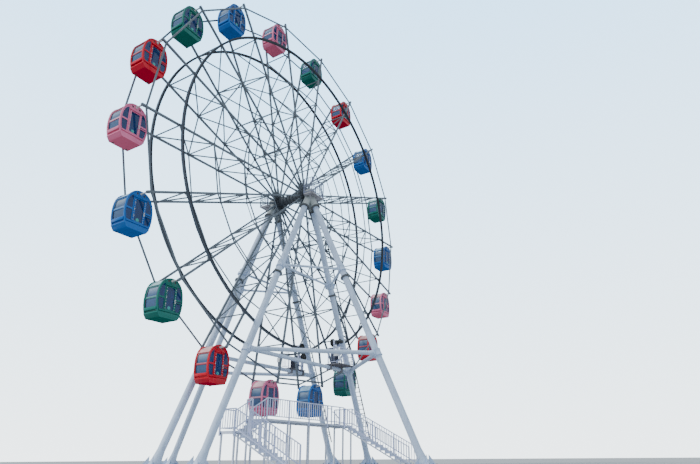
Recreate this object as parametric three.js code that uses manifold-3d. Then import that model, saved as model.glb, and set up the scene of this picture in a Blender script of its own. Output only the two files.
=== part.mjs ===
// A fairground ferris wheel: eighteen gondola cabins hang level between two rings of lattice
// spokes, carried on two steel tripods, with a raised boarding deck, its stairs, and the
// tyre drives that turn the wheel by its rims. Millimetres, +Z up, the wheel's axle along Y.
// The origin is on the ground, midway between the feet. -Y is the boarding side ("near").
import * as THREE from "three";
import { mergeVertices } from "three/addons/utils/BufferGeometryUtils.js";
import Module from "manifold-3d";

const wasm = await Module();
wasm.setup();

// Wheel
const hubHeight = 17100;
const pivotRadius = 12600;
const cabinCount = 18;
const wheelPhase = 2.5;
const tipHalfWidth = 946;
const rootHalfWidth = 1109;
const rimRadius = 10398;
const rimDepth = 200;
const rimHalfWidth = 1223;
const rimWidth = 140;
const rimSegments = 54;
const laceStations = [5733, 8064];
const outerTieRadius = 12411;
const flangeRadius = 650;
const flangeThickness = 100;
const drumRadius = 280;
const shaftRadius = 130;
const spokeRootSize = 80;
const spokeTipSize = 110;
const crossSize = 60;
const laceRadius = 30;
const innerTieRadius = 28;
const outerTieSize = 42;
const tipOverrun = 90;
const rootGap = 0.7;
const tipBlock = { radial: 190, width: 122, tangential: 180 };
const framesPerSector = 3;

// Tripods that carry the axle
const bearingHalfDistance = 1515;
const sideSpread = 0.4412;
const outerSpread = 0.4525;
const legRadius = 190;
const legSides = 12;
const headReach = 1000;
const headStubRadius = 232;
const housing = { radius: 330, length: 500 };
const footRadius = 340;
const footFlareLength = 1090;
const footSpare = 150;
const basePlate = { size: 1050, thickness: 50 };
const braceLevels = { lower: 5918, upper: 11309 };
const braceRadii = { lower: 118, upper: 72 };
const braceSides = 8;
const collarRadius = 256;
const collarHalfHeight = 190;

// Small platforms at the hub and at the rim drives
const hubPlatform = { left: -850, right: 420, inner: 1500, outer: 2400, top: 16670, thickness: 60, guard: 1080 };
const platformRail = { height: 1000, size: 50, inset: 30, sunk: 30, legGap: 60 };
const drivePlatform = { inner: 1340, outer: 2450, top: 6120, thickness: 60, back: 1500, front: 540 };
const driveAngles = { near: -70, far: -71 };
const tyre = { radius: 230, width: 130, sides: 24, boss: 60, clearance: 9 };
const drivePost = { inner: 1340, depth: 130, width: 480, above: 130 };
const clampSize = { width: 140, half: 175, fromEnd: 200 };
const driveGuardStart = 200;

// Access ladders along the legs to the right
const ladder = {
  offset: 360, shift: 90, halfWidth: 210, pitch: 600, rungRadius: 20, rail: 46, start: 1300, end: 1500,
  armRadius: 30, armRoot: 60, arms: 4,
};

// Boarding deck, landing and stairs
const deck = { left: -3640, right: 3640, stairEnd: 4600, front: -2000, back: -640 };
const riser = 172;
const going = 325;
const deckRisers = 14;
const landingRisers = 10;
const deckTop = riser * deckRisers;
const landingTop = riser * landingRisers;
const slabThickness = 150;
const landing = { left: -5850, right: -4615, back: -1040 };
const flightWidth = 920;
const stepPlate = 55;
const stringer = { thickness: 50, rise: 40, depth: 240 };
const columnSize = 80;
const rail = {
  height: 1040, bottom: 110, size: 46, post: 60, baluster: 24, pitch: 607, postPitch: 1820, apart: 20,
};

// Cabins
const cabin = { halfDepth: 500, wall: 45, axleRadius: 46 };
const cabinProfile = [
  [490, -1870],
  [665, -1550],
  [745, -1000],
  [708, -560],
  [540, -130],
  [250, 130],
];
const cabinLining = [
  [430, -1825],
  [612, -1540],
  [692, -1000],
  [572, -340],
  [262, 78],
];
const doorOpening = { half: 285, bottom: -1700, top: -300 };
const sidelight = { inner: 365, outer: 600, bottom: -1450, top: -390 };
const rearWindow = { inner: 40, outer: 600 };
const endWindow = { half: 420, bottom: -1390, top: -400 };

// Fits
const seat = 0.3;
const running = 0.5;

const paint = (color, roughness, metalness) =>
  new THREE.MeshStandardMaterial({ color, roughness, metalness });
const whiteSteel = paint(0xd9dde2, 0.45, 0.1);
const greySteel = paint(0x8f9499, 0.5, 0.4);
const darkSteel = paint(0x24262b, 0.5, 0.4);
const blackRubber = paint(0x151515, 0.85, 0);
const cabinPaints = {
  green: paint(0x13705f, 0.3, 0.1),
  blue: paint(0x1f66b8, 0.3, 0.1),
  pink: paint(0xe07c9a, 0.3, 0.1),
  red: paint(0xc3202f, 0.3, 0.1),
};
const cabinColours = [
  "green", "blue", "pink", "green", "red", "blue", "green", "blue", "pink",
  "red", "green", "blue", "pink", "red", "green", "blue", "pink", "red",
];

const vec = (x, y, z) => new THREE.Vector3(x, y, z);
const degrees = THREE.MathUtils.degToRad;

// A closed geometry as a solid for cutting and joining.
function solid(geometry) {
  const bare = geometry.clone();
  bare.deleteAttribute("normal");
  bare.deleteAttribute("uv");
  const merged = mergeVertices(bare, 1e-3);
  const mesh = new wasm.Mesh({
    numProp: 3,
    vertProperties: new Float32Array(merged.attributes.position.array),
    triVerts: new Uint32Array(merged.index.array),
  });
  return new wasm.Manifold(mesh);
}

function joined(solids) {
  return solids.reduce((sum, one) => sum.add(one));
}

function geometryOf(body) {
  const mesh = body.getMesh();
  const indexed = new THREE.BufferGeometry();
  indexed.setAttribute("position", new THREE.BufferAttribute(mesh.vertProperties, 3));
  indexed.setIndex(new THREE.BufferAttribute(mesh.triVerts, 1));
  const flat = indexed.toNonIndexed();
  flat.computeVertexNormals();
  return flat;
}

function named(name, body, material) {
  const mesh = new THREE.Mesh(geometryOf(body), material);
  mesh.name = name;
  return mesh;
}

function block(x0, x1, y0, y1, z0, z1) {
  const box = new THREE.BoxGeometry(x1 - x0, y1 - y0, z1 - z0);
  box.translate((x0 + x1) / 2, (y0 + y1) / 2, (z0 + z1) / 2);
  return solid(box);
}

// A bar turned about the line from a to b, with `sides` flats square to `up`. Its outline is a
// list of [radius, distance from a], from one end face to the other.
function turned(a, b, outline, sides, up = vec(0, 1, 0)) {
  const profile = outline.map(([radius, distance]) => new THREE.Vector2(radius, distance));
  const ends = [new THREE.Vector2(0, profile[0].y), new THREE.Vector2(0, profile.at(-1).y)];
  const bar = new THREE.LatheGeometry([ends[0], ...profile, ends[1]], sides, Math.PI / sides);
  const along = b.clone().sub(a).normalize();
  const side = new THREE.Vector3().crossVectors(along, up).normalize();
  const across = new THREE.Vector3().crossVectors(side, along);
  bar.applyMatrix4(new THREE.Matrix4().makeBasis(side, along, across));
  bar.translate(a.x, a.y, a.z);
  return solid(bar);
}

// A straight bar from a to b, with `endRadius` at b where it tapers.
function strut(a, b, radius, sides, up = vec(0, 1, 0), endRadius = radius) {
  return turned(a, b, [[radius, 0], [endRadius, a.distanceTo(b)]], sides, up);
}

function squareBar(a, b, size, up, endSize = size) {
  return strut(a, b, size / Math.SQRT2, 4, up, endSize / Math.SQRT2);
}

// A bar along Y, centred on the point (x, y, z).
function drum(x, y, z, radius, length, sides) {
  return strut(vec(x, y - length / 2, z), vec(x, y + length / 2, z), radius, sides, vec(0, 0, 1));
}

// Each tripod has two legs under the axle's end and one that rakes outwards.
const legDirections = {
  left: vec(-sideSpread, 0, -1),
  right: vec(sideSpread, 0, -1),
  outer: vec(0, outerSpread, -1),
};
const sides = { near: -1, far: 1 };

function legPoint(side, leg, drop) {
  const way = legDirections[leg];
  const y = sides[side] * (bearingHalfDistance + way.y * drop);
  return vec(way.x * drop, y, hubHeight - drop);
}

function legTube(side, leg, radius, fromDrop, toDrop) {
  return strut(legPoint(side, leg, fromDrop), legPoint(side, leg, toDrop), radius, legSides);
}

function dropAlong(leg, distance) {
  return distance / legDirections[leg].length();
}

// A raking tube that flares at its foot and is cut level inside the thickness of its base plate.
function makeLeg(side, leg) {
  const top = legPoint(side, leg, dropAlong(leg, headReach + seat));
  const bottom = legPoint(side, leg, hubHeight + footSpare);
  const outline = [
    [footRadius, 0],
    [legRadius, footFlareLength],
    [legRadius, top.distanceTo(bottom)],
  ];
  const tube = turned(bottom, top, outline, legSides);
  const foot = legPoint(side, leg, hubHeight);
  const half = basePlate.size / 2;
  const footprint = [foot.x - half, foot.x + half, foot.y - half, foot.y + half];
  const plate = block(...footprint, 0, basePlate.thickness);
  const below = block(...footprint, -basePlate.size, basePlate.thickness / 2);
  return tube.subtract(below).add(plate);
}

// The cast head over each tripod: bearing housing, three leg sockets, and a service platform.
function makeHead(side) {
  const way = sides[side];
  const centre = vec(0, way * bearingHalfDistance, hubHeight);
  const stubs = Object.keys(legDirections).map((leg) =>
    strut(centre, legPoint(side, leg, dropAlong(leg, headReach)), headStubRadius, legSides),
  );
  const bearing = drum(0, centre.y, hubHeight, housing.radius, housing.length, legSides);
  const { left, right, inner, outer, top, thickness, guard } = hubPlatform;
  const near = Math.min(way * inner, way * outer);
  const far = Math.max(way * inner, way * outer);
  const plate = block(left, right, near, far, top - thickness, top);
  const { inset, legGap } = platformRail;
  const railLine = [
    vec(left + inset, way * (inner + legGap), top),
    vec(left + inset, way * (outer - inset), top),
    vec(right - inset, way * (outer - inset), top),
    vec(right - inset, way * (inner + legGap), top),
  ];
  return joined([...stubs, bearing, plate, ...platformGuard(railLine, guard)]);
}

// Posts, a knee rail and a top rail round an open line of corners.
function platformGuard(line, height = platformRail.height) {
  const { size, sunk } = platformRail;
  const lift = (point, z) => point.clone().setZ(point.z + z);
  const bars = line.map((point) => squareBar(lift(point, -sunk), lift(point, height), size));
  for (let i = 0; i + 1 < line.length; i += 1) {
    for (const level of [height / 2, height - size / 2]) {
      bars.push(squareBar(lift(line[i], level), lift(line[i + 1], level), size, vec(0, 0, 1)));
    }
  }
  return bars;
}

function makeBrace(side, level) {
  const drop = hubHeight - braceLevels[level];
  const radius = braceRadii[level];
  const legs = ["left", "right", "outer"];
  const collars = legs.map((leg) =>
    legTube(side, leg, collarRadius, drop - collarHalfHeight, drop + collarHalfHeight),
  );
  const bars = legs.map((leg, i) => {
    const next = legs[(i + 1) % legs.length];
    const [from, to] = [legPoint(side, leg, drop), legPoint(side, next, drop)];
    return strut(from, to, radius, braceSides, vec(0, 0, 1));
  });
  let brace = joined([...collars, ...bars]);
  for (const leg of legs) {
    brace = brace.subtract(legTube(side, leg, legRadius + seat, 0, hubHeight));
  }
  return brace;
}

// A ladder up the outside of a right-hand leg, on stand-off arms that end at the leg's skin.
// It stands a little further from the wheel than the leg does, clear of the rim.
function makeLadder(side) {
  const leg = legDirections.right.clone().normalize();
  const outward = vec(-leg.z, 0, leg.x);
  const lengthToGround = hubHeight / -leg.z;
  const legY = sides[side] * bearingHalfDistance;
  const along = (distance, y, offset) =>
    leg.clone().multiplyScalar(distance).addScaledVector(outward, offset).add(vec(0, y, hubHeight));
  const ladderY = legY + sides[side] * ladder.shift;
  const onLadder = (distance, across, offset) => along(distance, ladderY + across, offset);
  const { halfWidth, pitch, rungRadius, offset } = ladder;
  const first = ladder.start;
  const last = lengthToGround - ladder.end;
  const bars = [];
  for (const across of [-halfWidth, halfWidth]) {
    const [from, to] = [onLadder(first, across, offset), onLadder(last, across, offset)];
    bars.push(squareBar(from, to, ladder.rail));
  }
  const rungs = Math.floor((last - first) / pitch);
  for (let i = 0; i < rungs; i += 1) {
    const at = first + pitch * (i + 0.5);
    const [from, to] = [onLadder(at, -halfWidth, offset), onLadder(at, halfWidth, offset)];
    bars.push(strut(from, to, rungRadius, 3, outward));
  }
  const lastPitch = rungs - 2;
  for (let i = 0; i < ladder.arms; i += 1) {
    const at = first + pitch * (1 + Math.floor((lastPitch * i) / (ladder.arms - 1)));
    for (const across of [-halfWidth, halfWidth]) {
      const root = along(at, legY + across / 2, ladder.armRoot);
      bars.push(strut(onLadder(at, across, offset), root, ladder.armRadius, 3));
    }
  }
  return joined(bars).subtract(legTube(side, "right", legRadius + seat, 0, hubHeight));
}

// Where a drive tyre's shaft stands: outside (+1) or inside (-1) the rim.
function tyreCentre(side, place) {
  const angle = degrees(driveAngles[side]);
  const rimEdge = rimRadius + (place * rimDepth) / 2;
  const inside = place < 0 ? rimEdge * Math.cos(Math.PI / rimSegments) : rimEdge;
  const radius = inside + place * (tyre.radius + tyre.clearance);
  return vec(
    radius * Math.cos(angle),
    sides[side] * rimHalfWidth,
    hubHeight + radius * Math.sin(angle),
  );
}

function makeTyre(side, place) {
  const way = sides[side];
  const centre = tyreCentre(side, place);
  const tread = drum(centre.x, centre.y, centre.z, tyre.radius, tyre.width, tyre.sides);
  const shaftEnd = way * (drivePost.inner - running);
  const shaft = strut(centre, vec(centre.x, shaftEnd, centre.z), tyre.boss, legSides, vec(0, 0, 1));
  return tread.add(shaft);
}

// The platform stands on the tripod's lower brace and holds the drive tyres' post.
function makeDrivePlatform(side) {
  const way = sides[side];
  const outerTyre = tyreCentre(side, 1);
  const innerTyre = tyreCentre(side, -1);
  const middle = (outerTyre.x + innerTyre.x) / 2;
  const x0 = middle - drivePlatform.back;
  const x1 = middle + drivePlatform.front;
  const { top, thickness, inner, outer } = drivePlatform;
  const yNear = Math.min(way * inner, way * outer);
  const yFar = Math.max(way * inner, way * outer);
  const floor = block(x0, x1, yNear, yFar, top - thickness, top);
  const postInner = way * drivePost.inner;
  const postOuter = way * (drivePost.inner + drivePost.depth);
  const post = block(
    middle - drivePost.width / 2, middle + drivePost.width / 2,
    Math.min(postInner, postOuter), Math.max(postInner, postOuter),
    top - thickness, innerTyre.z + drivePost.above,
  );
  const bar = legPoint(side, "right", hubHeight - braceLevels.lower);
  const clamps = [x0 + clampSize.fromEnd, x1 - clampSize.fromEnd].map((x) =>
    block(
      x - clampSize.width / 2, x + clampSize.width / 2,
      bar.y - clampSize.half, bar.y + clampSize.half,
      bar.z - clampSize.half, top - thickness / 2,
    ),
  );
  const brace = strut(
    vec(-bar.x, bar.y, bar.z), bar, braceRadii.lower + seat, braceSides, vec(0, 0, 1),
  );
  const { inset } = platformRail;
  const guard = platformGuard([
    vec(x0 + inset, way * (inner + driveGuardStart), top),
    vec(x0 + inset, way * (outer - inset), top),
    vec(x1 - inset, way * (outer - inset), top),
  ]);
  return joined([floor, post, ...clamps, ...guard]).subtract(brace);
}

// Boarding deck: a slab on two rows of columns.
function makeDeck() {
  const columns = [deck.stairEnd];
  for (let x = deck.left; x <= deck.right; x += rail.postPitch) columns.push(x);
  const parts = [
    block(deck.left, deck.stairEnd, deck.front, deck.back, deckTop - slabThickness, deckTop),
  ];
  for (const x of columns) {
    const centre = THREE.MathUtils.clamp(x, deck.left + columnSize / 2, deck.stairEnd - columnSize / 2);
    for (const y of [deck.front + columnSize / 2, deck.back - columnSize / 2]) {
      parts.push(column(centre, y, deckTop - slabThickness / 2));
    }
  }
  return joined(parts);
}

function column(x, y, top) {
  const half = columnSize / 2;
  return block(x - half, x + half, y - half, y + half, 0, top);
}

function makeLanding() {
  const half = columnSize / 2;
  const right = landing.right - 2 * seat;
  const parts = [
    block(landing.left, right, deck.front, landing.back, landingTop - slabThickness, landingTop),
  ];
  for (const x of [landing.left + half, right - half]) {
    for (const y of [deck.front + half, landing.back - half]) {
      parts.push(column(x, y, landingTop - slabThickness / 2));
    }
  }
  return joined(parts);
}

// A flight's side view: it runs down towards +X from its top nosing at (0, 0).
function stepOutline(risers) {
  const upper = [];
  const lower = [];
  for (let i = 0; i < risers - 1; i += 1) {
    const z = -riser * (i + 1);
    upper.push([going * i, z], [going * (i + 1), z]);
    lower.push([going * i - stepPlate, z - stepPlate], [going * (i + 1) - stepPlate, z - stepPlate]);
  }
  const run = going * (risers - 1);
  lower[0] = [0, -riser - stepPlate];
  const foot = -riser * risers;
  return [...upper, [run, foot], [run - stepPlate, foot], ...lower.reverse()];
}

function stringerOutline(risers) {
  const run = going * (risers - 1);
  const slope = riser / going;
  const lowest = -riser * risers;
  const { rise, depth } = stringer;
  const under = (x) => Math.max(-slope * x - depth, lowest);
  const outline = [[0, rise], [run, rise - slope * run], [run, under(run)]];
  const knee = (-lowest - depth) / slope;
  if (knee < run) outline.push([knee, lowest]);
  outline.push([0, -depth]);
  return outline;
}

function extruded(outline, depth) {
  const shape = new THREE.Shape(outline.map(([x, y]) => new THREE.Vector2(x, y)));
  return new THREE.ExtrudeGeometry(shape, { depth, bevelEnabled: false });
}

// `place` turns a flight's own frame (x along the run, y across, z up) into the wheel's.
function makeFlight(risers, width, place) {
  const parts = [];
  const steps = extruded(stepOutline(risers), width - stringer.thickness);
  steps.translate(0, 0, stringer.thickness / 2);
  parts.push(steps);
  for (const start of [0, width - stringer.thickness]) {
    const plate = extruded(stringerOutline(risers), stringer.thickness);
    plate.translate(0, 0, start);
    parts.push(plate);
  }
  const upright = new THREE.Matrix4().makeRotationX(Math.PI / 2);
  return joined(parts.map((part) => solid(part.applyMatrix4(upright).applyMatrix4(place))));
}

// A railing over a line of floor points: end and middle posts, two rails and balusters.
function railing(line) {
  const lift = (point, z) => point.clone().setZ(point.z + z);
  const bars = [];
  for (let i = 0; i + 1 < line.length; i += 1) {
    const [a, b] = [line[i], line[i + 1]];
    const level = Math.hypot(b.x - a.x, b.y - a.y);
    const at = (distance) => a.clone().lerp(b, distance / level);
    for (const height of [rail.bottom, rail.height]) {
      bars.push(squareBar(lift(a, height), lift(b, height), rail.size, vec(0, 0, 1)));
    }
    const bays = Math.max(1, Math.round(level / rail.postPitch));
    const firstPost = i === 0 ? 0 : 1;
    for (let j = firstPost; j <= bays; j += 1) {
      const point = at((level * j) / bays);
      const foot = Math.max(0, point.z - slabThickness);
      bars.push(squareBar(point.clone().setZ(foot), lift(point, rail.height + rail.size / 2), rail.post));
    }
    const gaps = Math.max(2, Math.round(level / rail.pitch));
    for (let j = 1; j < gaps; j += 1) {
      if ((j * bays) % gaps === 0) continue;
      const point = at((level * j) / gaps);
      bars.push(squareBar(lift(point, rail.bottom), lift(point, rail.height), rail.baluster));
    }
  }
  return joined(bars);
}

const sideOffset = rail.post / 2 + seat;

function railLines() {
  const front = deck.front - sideOffset;
  const innerLeft = landing.left + flightWidth + sideOffset;
  const outerLeft = landing.left - sideOffset;
  const back = landing.back + sideOffset;
  const flightFoot = (risers) => deck.front - going * risers;
  const rightFoot = flightFoot(deckRisers);
  const leftFoot = flightFoot(landingRisers);
  const rightInner = deck.right - sideOffset;
  const rightOuter = deck.stairEnd + sideOffset;
  const apart = rail.post + rail.apart;
  return {
    railing_deck_front: [
      vec(innerLeft, front, landingTop),
      vec(deck.left, front, deckTop),
      vec(rightInner, front, deckTop),
    ],
    railing_left_stair_inner: [
      vec(innerLeft, front - apart, landingTop - (riser / going) * apart),
      vec(innerLeft, leftFoot, 0),
    ],
    railing_left_stair_outer: [
      vec(outerLeft, leftFoot, 0),
      vec(outerLeft, deck.front, landingTop),
      vec(outerLeft, back, landingTop),
      vec(innerLeft, back, landingTop),
      vec(deck.left - sideOffset, back, deckTop),
      vec(deck.left - sideOffset, deck.back, deckTop),
    ],
    railing_right_stair_inner: [
      vec(rightInner, front - apart, deckTop - (riser / going) * apart),
      vec(rightInner, rightFoot, 0),
    ],
    railing_right_stair_outer: [
      vec(rightOuter, deck.back, deckTop),
      vec(rightOuter, deck.front, deckTop),
      vec(rightOuter, rightFoot, 0),
    ],
  };
}

// The wheel's own frame has the axle as Y through its origin and spoke frames every 20 degrees.
const step = 360 / cabinCount;

function spokePoint(angle, radius, side) {
  const share = radius / pivotRadius;
  const halfWidth = rootHalfWidth + (tipHalfWidth - rootHalfWidth) * share;
  return vec(radius * Math.cos(degrees(angle)), side * halfWidth, radius * Math.sin(degrees(angle)));
}

function spokeBar(angle, side, allowance = 0) {
  const rootSize = spokeRootSize + 2 * allowance;
  const tipSize = spokeTipSize + 2 * allowance;
  return squareBar(
    spokePoint(angle, flangeRadius + rootGap, side),
    spokePoint(angle, pivotRadius + tipOverrun, side),
    rootSize, vec(0, 1, 0), tipSize,
  );
}

// One pair of spokes, near and far, laced together, with the blocks that carry a cabin's axle.
function spokeFrame(angle) {
  const parts = [spokeBar(angle, -1), spokeBar(angle, 1)];
  for (const radius of laceStations) {
    const ends = [-1, 1].map((side) => spokePoint(angle, radius, side));
    parts.push(squareBar(ends[0], ends[1], crossSize, vec(0, 0, 1)));
  }
  const rimReach = rimHalfWidth - rimWidth / 2 - seat;
  const [near, far] = [-1, 1].map((side) => spokePoint(angle, rimRadius, side).setY(side * rimReach));
  parts.push(squareBar(near, far, crossSize, near.clone().setY(0)));
  const lacePoints = [...laceStations, rimRadius];
  for (let i = 0; i + 1 < lacePoints.length; i += 1) {
    const outer = spokePoint(angle, lacePoints[i + 1], 1);
    const inner = spokePoint(angle, lacePoints[i], -1);
    parts.push(strut(outer, inner, laceRadius, 3));
  }
  for (const side of [-1, 1]) {
    const block = new THREE.BoxGeometry(tipBlock.radial, tipBlock.width, tipBlock.tangential);
    block.rotateY(-degrees(angle));
    const at = spokePoint(angle, pivotRadius, side);
    block.translate(at.x, at.y, at.z);
    parts.push(solid(block));
  }
  return parts;
}

// Straight ties round the wheel from one spoke frame to the next, near and far.
function tieBars(angle) {
  const parts = [];
  for (const side of [-1, 1]) {
    for (const radius of laceStations) {
      parts.push(strut(
        spokePoint(angle, radius, side), spokePoint(angle + step, radius, side), innerTieRadius, 3,
      ));
    }
    parts.push(strut(
      spokePoint(angle, outerTieRadius, side),
      spokePoint(angle + step, outerTieRadius, side),
      outerTieSize, 4,
    ));
  }
  return parts;
}

function makeSector(index) {
  const first = index * framesPerSector;
  const parts = [];
  for (let k = first; k < first + framesPerSector; k += 1) {
    parts.push(...spokeFrame(k * step), ...tieBars(k * step));
  }
  const nextAngle = (first + framesPerSector) * step;
  let sector = joined(parts);
  for (const side of [-1, 1]) sector = sector.subtract(spokeBar(nextAngle, side, seat));
  return sector;
}

function lathed(points, segments) {
  const profile = points.map(([radius, y]) => new THREE.Vector2(radius, y));
  return solid(new THREE.LatheGeometry(profile, segments));
}

function makeHub() {
  const shaftEnd = bearingHalfDistance - housing.length / 2 - running;
  const flangeCorner = flangeRadius / Math.cos(Math.PI / cabinCount);
  const outer = rootHalfWidth + flangeThickness / 2;
  const inner = rootHalfWidth - flangeThickness / 2;
  const profile = [
    [0, -shaftEnd],
    [shaftRadius, -shaftEnd],
    [shaftRadius, -outer],
    [flangeCorner, -outer],
    [flangeCorner, -inner],
    [drumRadius, -inner],
    [drumRadius, inner],
    [flangeCorner, inner],
    [flangeCorner, outer],
    [shaftRadius, outer],
    [shaftRadius, shaftEnd],
    [0, shaftEnd],
  ];
  return lathed(profile, cabinCount);
}

function makeRim(side) {
  const inner = rimRadius - rimDepth / 2;
  const outer = rimRadius + rimDepth / 2;
  const half = rimWidth / 2;
  const middle = side * rimHalfWidth;
  const profile = [
    [inner, middle - half],
    [outer, middle - half],
    [outer, middle + half],
    [inner, middle + half],
    [inner, middle - half],
  ];
  return lathed(profile, rimSegments);
}

// A cabin in its own frame: the pivot axle is Y through the origin, the floor below.
function mirrored(half) {
  const left = half.map(([x, z]) => [-x, z]).reverse();
  return [...half, ...left];
}

function alongY(outline, halfDepth) {
  const body = extruded(mirrored(outline), halfDepth * 2);
  body.rotateX(Math.PI / 2);
  body.translate(0, halfDepth, 0);
  return solid(body);
}

function makeCabin() {
  let shell = alongY(cabinProfile, cabin.halfDepth);
  shell = shell.subtract(alongY(cabinLining, cabin.halfDepth - cabin.wall));
  const beyond = 2 * cabin.halfDepth;
  const { half, bottom, top } = doorOpening;
  shell = shell.subtract(block(-half, half, -beyond, 0, bottom, top));
  for (const way of [-1, 1]) {
    const lights = [
      [sidelight.inner, sidelight.outer, -beyond, 0],
      [rearWindow.inner, rearWindow.outer, 0, beyond],
    ];
    for (const [inner, outer, y0, y1] of lights) {
      const x0 = Math.min(way * inner, way * outer);
      const x1 = Math.max(way * inner, way * outer);
      shell = shell.subtract(block(x0, x1, y0, y1, sidelight.bottom, sidelight.top));
    }
  }
  shell = shell.subtract(
    block(-beyond, beyond, -endWindow.half, endWindow.half, endWindow.bottom, endWindow.top),
  );
  const inboard = tipHalfWidth - tipBlock.width / 2 - running;
  for (const way of [-1, 1]) {
    const from = vec(0, way * (cabin.halfDepth - cabin.wall / 2), 0);
    shell = shell.add(strut(from, vec(0, way * inboard, 0), cabin.axleRadius, 6, vec(0, 0, 1)));
  }
  return shell;
}

const ferrisWheel = new THREE.Group();

for (const side of Object.keys(sides)) {
  for (const leg of Object.keys(legDirections)) {
    ferrisWheel.add(named(`leg_${side}_${leg}`, makeLeg(side, leg), whiteSteel));
  }
  ferrisWheel.add(named(`bearing_head_${side}`, makeHead(side), whiteSteel));
  for (const level of Object.keys(braceLevels)) {
    ferrisWheel.add(named(`brace_${level}_${side}`, makeBrace(side, level), whiteSteel));
  }
  ferrisWheel.add(named(`ladder_${side}`, makeLadder(side), greySteel));
  ferrisWheel.add(named(`drive_platform_${side}`, makeDrivePlatform(side), greySteel));
  ferrisWheel.add(named(`drive_tyre_${side}_outer`, makeTyre(side, 1), blackRubber));
  ferrisWheel.add(named(`drive_tyre_${side}_inner`, makeTyre(side, -1), blackRubber));
}

ferrisWheel.add(named("boarding_deck", makeDeck(), whiteSteel));
ferrisWheel.add(named("stair_landing", makeLanding(), whiteSteel));

// Each flight starts against its slab: the right one and the lower left one run to -Y.
const towardsViewer = (x, top) =>
  new THREE.Matrix4().makeTranslation(x, deck.front - seat, top)
    .multiply(new THREE.Matrix4().makeRotationZ(-Math.PI / 2));
const rightFlight = makeFlight(
  deckRisers, deck.stairEnd - deck.right, towardsViewer(deck.stairEnd, deckTop),
);
const lowerFlight = makeFlight(
  landingRisers, flightWidth, towardsViewer(landing.left + flightWidth, landingTop),
);
const towardsLanding = new THREE.Matrix4().makeTranslation(deck.left - seat, deck.front, deckTop)
  .multiply(new THREE.Matrix4().makeRotationZ(Math.PI));
const upperFlight = makeFlight(deckRisers - landingRisers, landing.back - deck.front, towardsLanding);
ferrisWheel.add(named("stair_right", rightFlight, whiteSteel));
ferrisWheel.add(named("stair_left_lower", lowerFlight, whiteSteel));
ferrisWheel.add(named("stair_left_upper", upperFlight, whiteSteel));
for (const [name, line] of Object.entries(railLines())) {
  ferrisWheel.add(named(name, railing(line), whiteSteel));
}

const wheel = new THREE.Group();
wheel.position.z = hubHeight;
wheel.rotation.y = -degrees(wheelPhase);
wheel.add(named("hub", makeHub(), darkSteel));
for (const side of Object.keys(sides)) {
  wheel.add(named(`rim_${side}`, makeRim(sides[side]), darkSteel));
}
for (let index = 0; index * framesPerSector < cabinCount; index += 1) {
  wheel.add(named(`spoke_sector_${index + 1}`, makeSector(index), greySteel));
}
ferrisWheel.add(wheel);

// Cabin 1 is at the upper left, and the numbers run clockwise as seen from the boarding side.
const cabinShell = makeCabin();
cabinColours.forEach((colour, index) => {
  const angle = degrees(wheelPhase + step * (7 - index));
  const number = String(index + 1).padStart(2, "0");
  const mesh = named(`cabin_${number}_${colour}`, cabinShell, cabinPaints[colour]);
  mesh.position.set(
    pivotRadius * Math.cos(angle), 0, hubHeight + pivotRadius * Math.sin(angle),
  );
  ferrisWheel.add(mesh);
});

export default ferrisWheel;
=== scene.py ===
import math

import bpy
from mathutils import Matrix, Vector


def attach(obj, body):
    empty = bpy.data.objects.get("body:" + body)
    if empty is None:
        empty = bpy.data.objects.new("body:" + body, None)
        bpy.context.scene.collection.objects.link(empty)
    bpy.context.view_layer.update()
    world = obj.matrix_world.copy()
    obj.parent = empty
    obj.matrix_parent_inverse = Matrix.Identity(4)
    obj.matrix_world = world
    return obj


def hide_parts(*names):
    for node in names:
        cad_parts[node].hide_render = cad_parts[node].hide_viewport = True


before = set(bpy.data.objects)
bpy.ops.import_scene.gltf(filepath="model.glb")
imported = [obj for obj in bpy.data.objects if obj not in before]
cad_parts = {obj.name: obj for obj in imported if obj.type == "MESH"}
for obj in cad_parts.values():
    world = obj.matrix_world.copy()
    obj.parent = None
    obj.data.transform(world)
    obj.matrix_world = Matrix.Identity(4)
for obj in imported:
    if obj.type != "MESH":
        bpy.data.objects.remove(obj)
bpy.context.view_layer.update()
bpy.ops.object.select_all(action="DESELECT")

# The site: a plain pale floor under a bright, slightly blue overcast sky, with a soft low sun
# behind the wheel to the left, and a camera that looks up from the boarding side.


def new_material(name):
    """A new material, with its node tree and its shader."""
    material = bpy.data.materials.new(name)
    material.use_nodes = True
    return material, material.node_tree, material.node_tree.nodes["Principled BSDF"]


def calc(tree, operation, first, second):
    """One step of arithmetic on two sockets or numbers."""
    node = tree.nodes.new("ShaderNodeMath")
    node.operation = operation
    for target, value in zip(node.inputs, (first, second)):
        if isinstance(value, (int, float)):
            target.default_value = value
        else:
            tree.links.new(value, target)
    return node.outputs["Value"]


bpy.ops.mesh.primitive_plane_add(size=600)
floor = bpy.context.object
floor.name = "floor"
floor_paint, _, floor_shader = new_material("pale_floor")
floor_shader.inputs["Base Color"].default_value = (0.42, 0.44, 0.46, 1)
floor_shader.inputs["Roughness"].default_value = 0.85
floor.data.materials.append(floor_paint)

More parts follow.
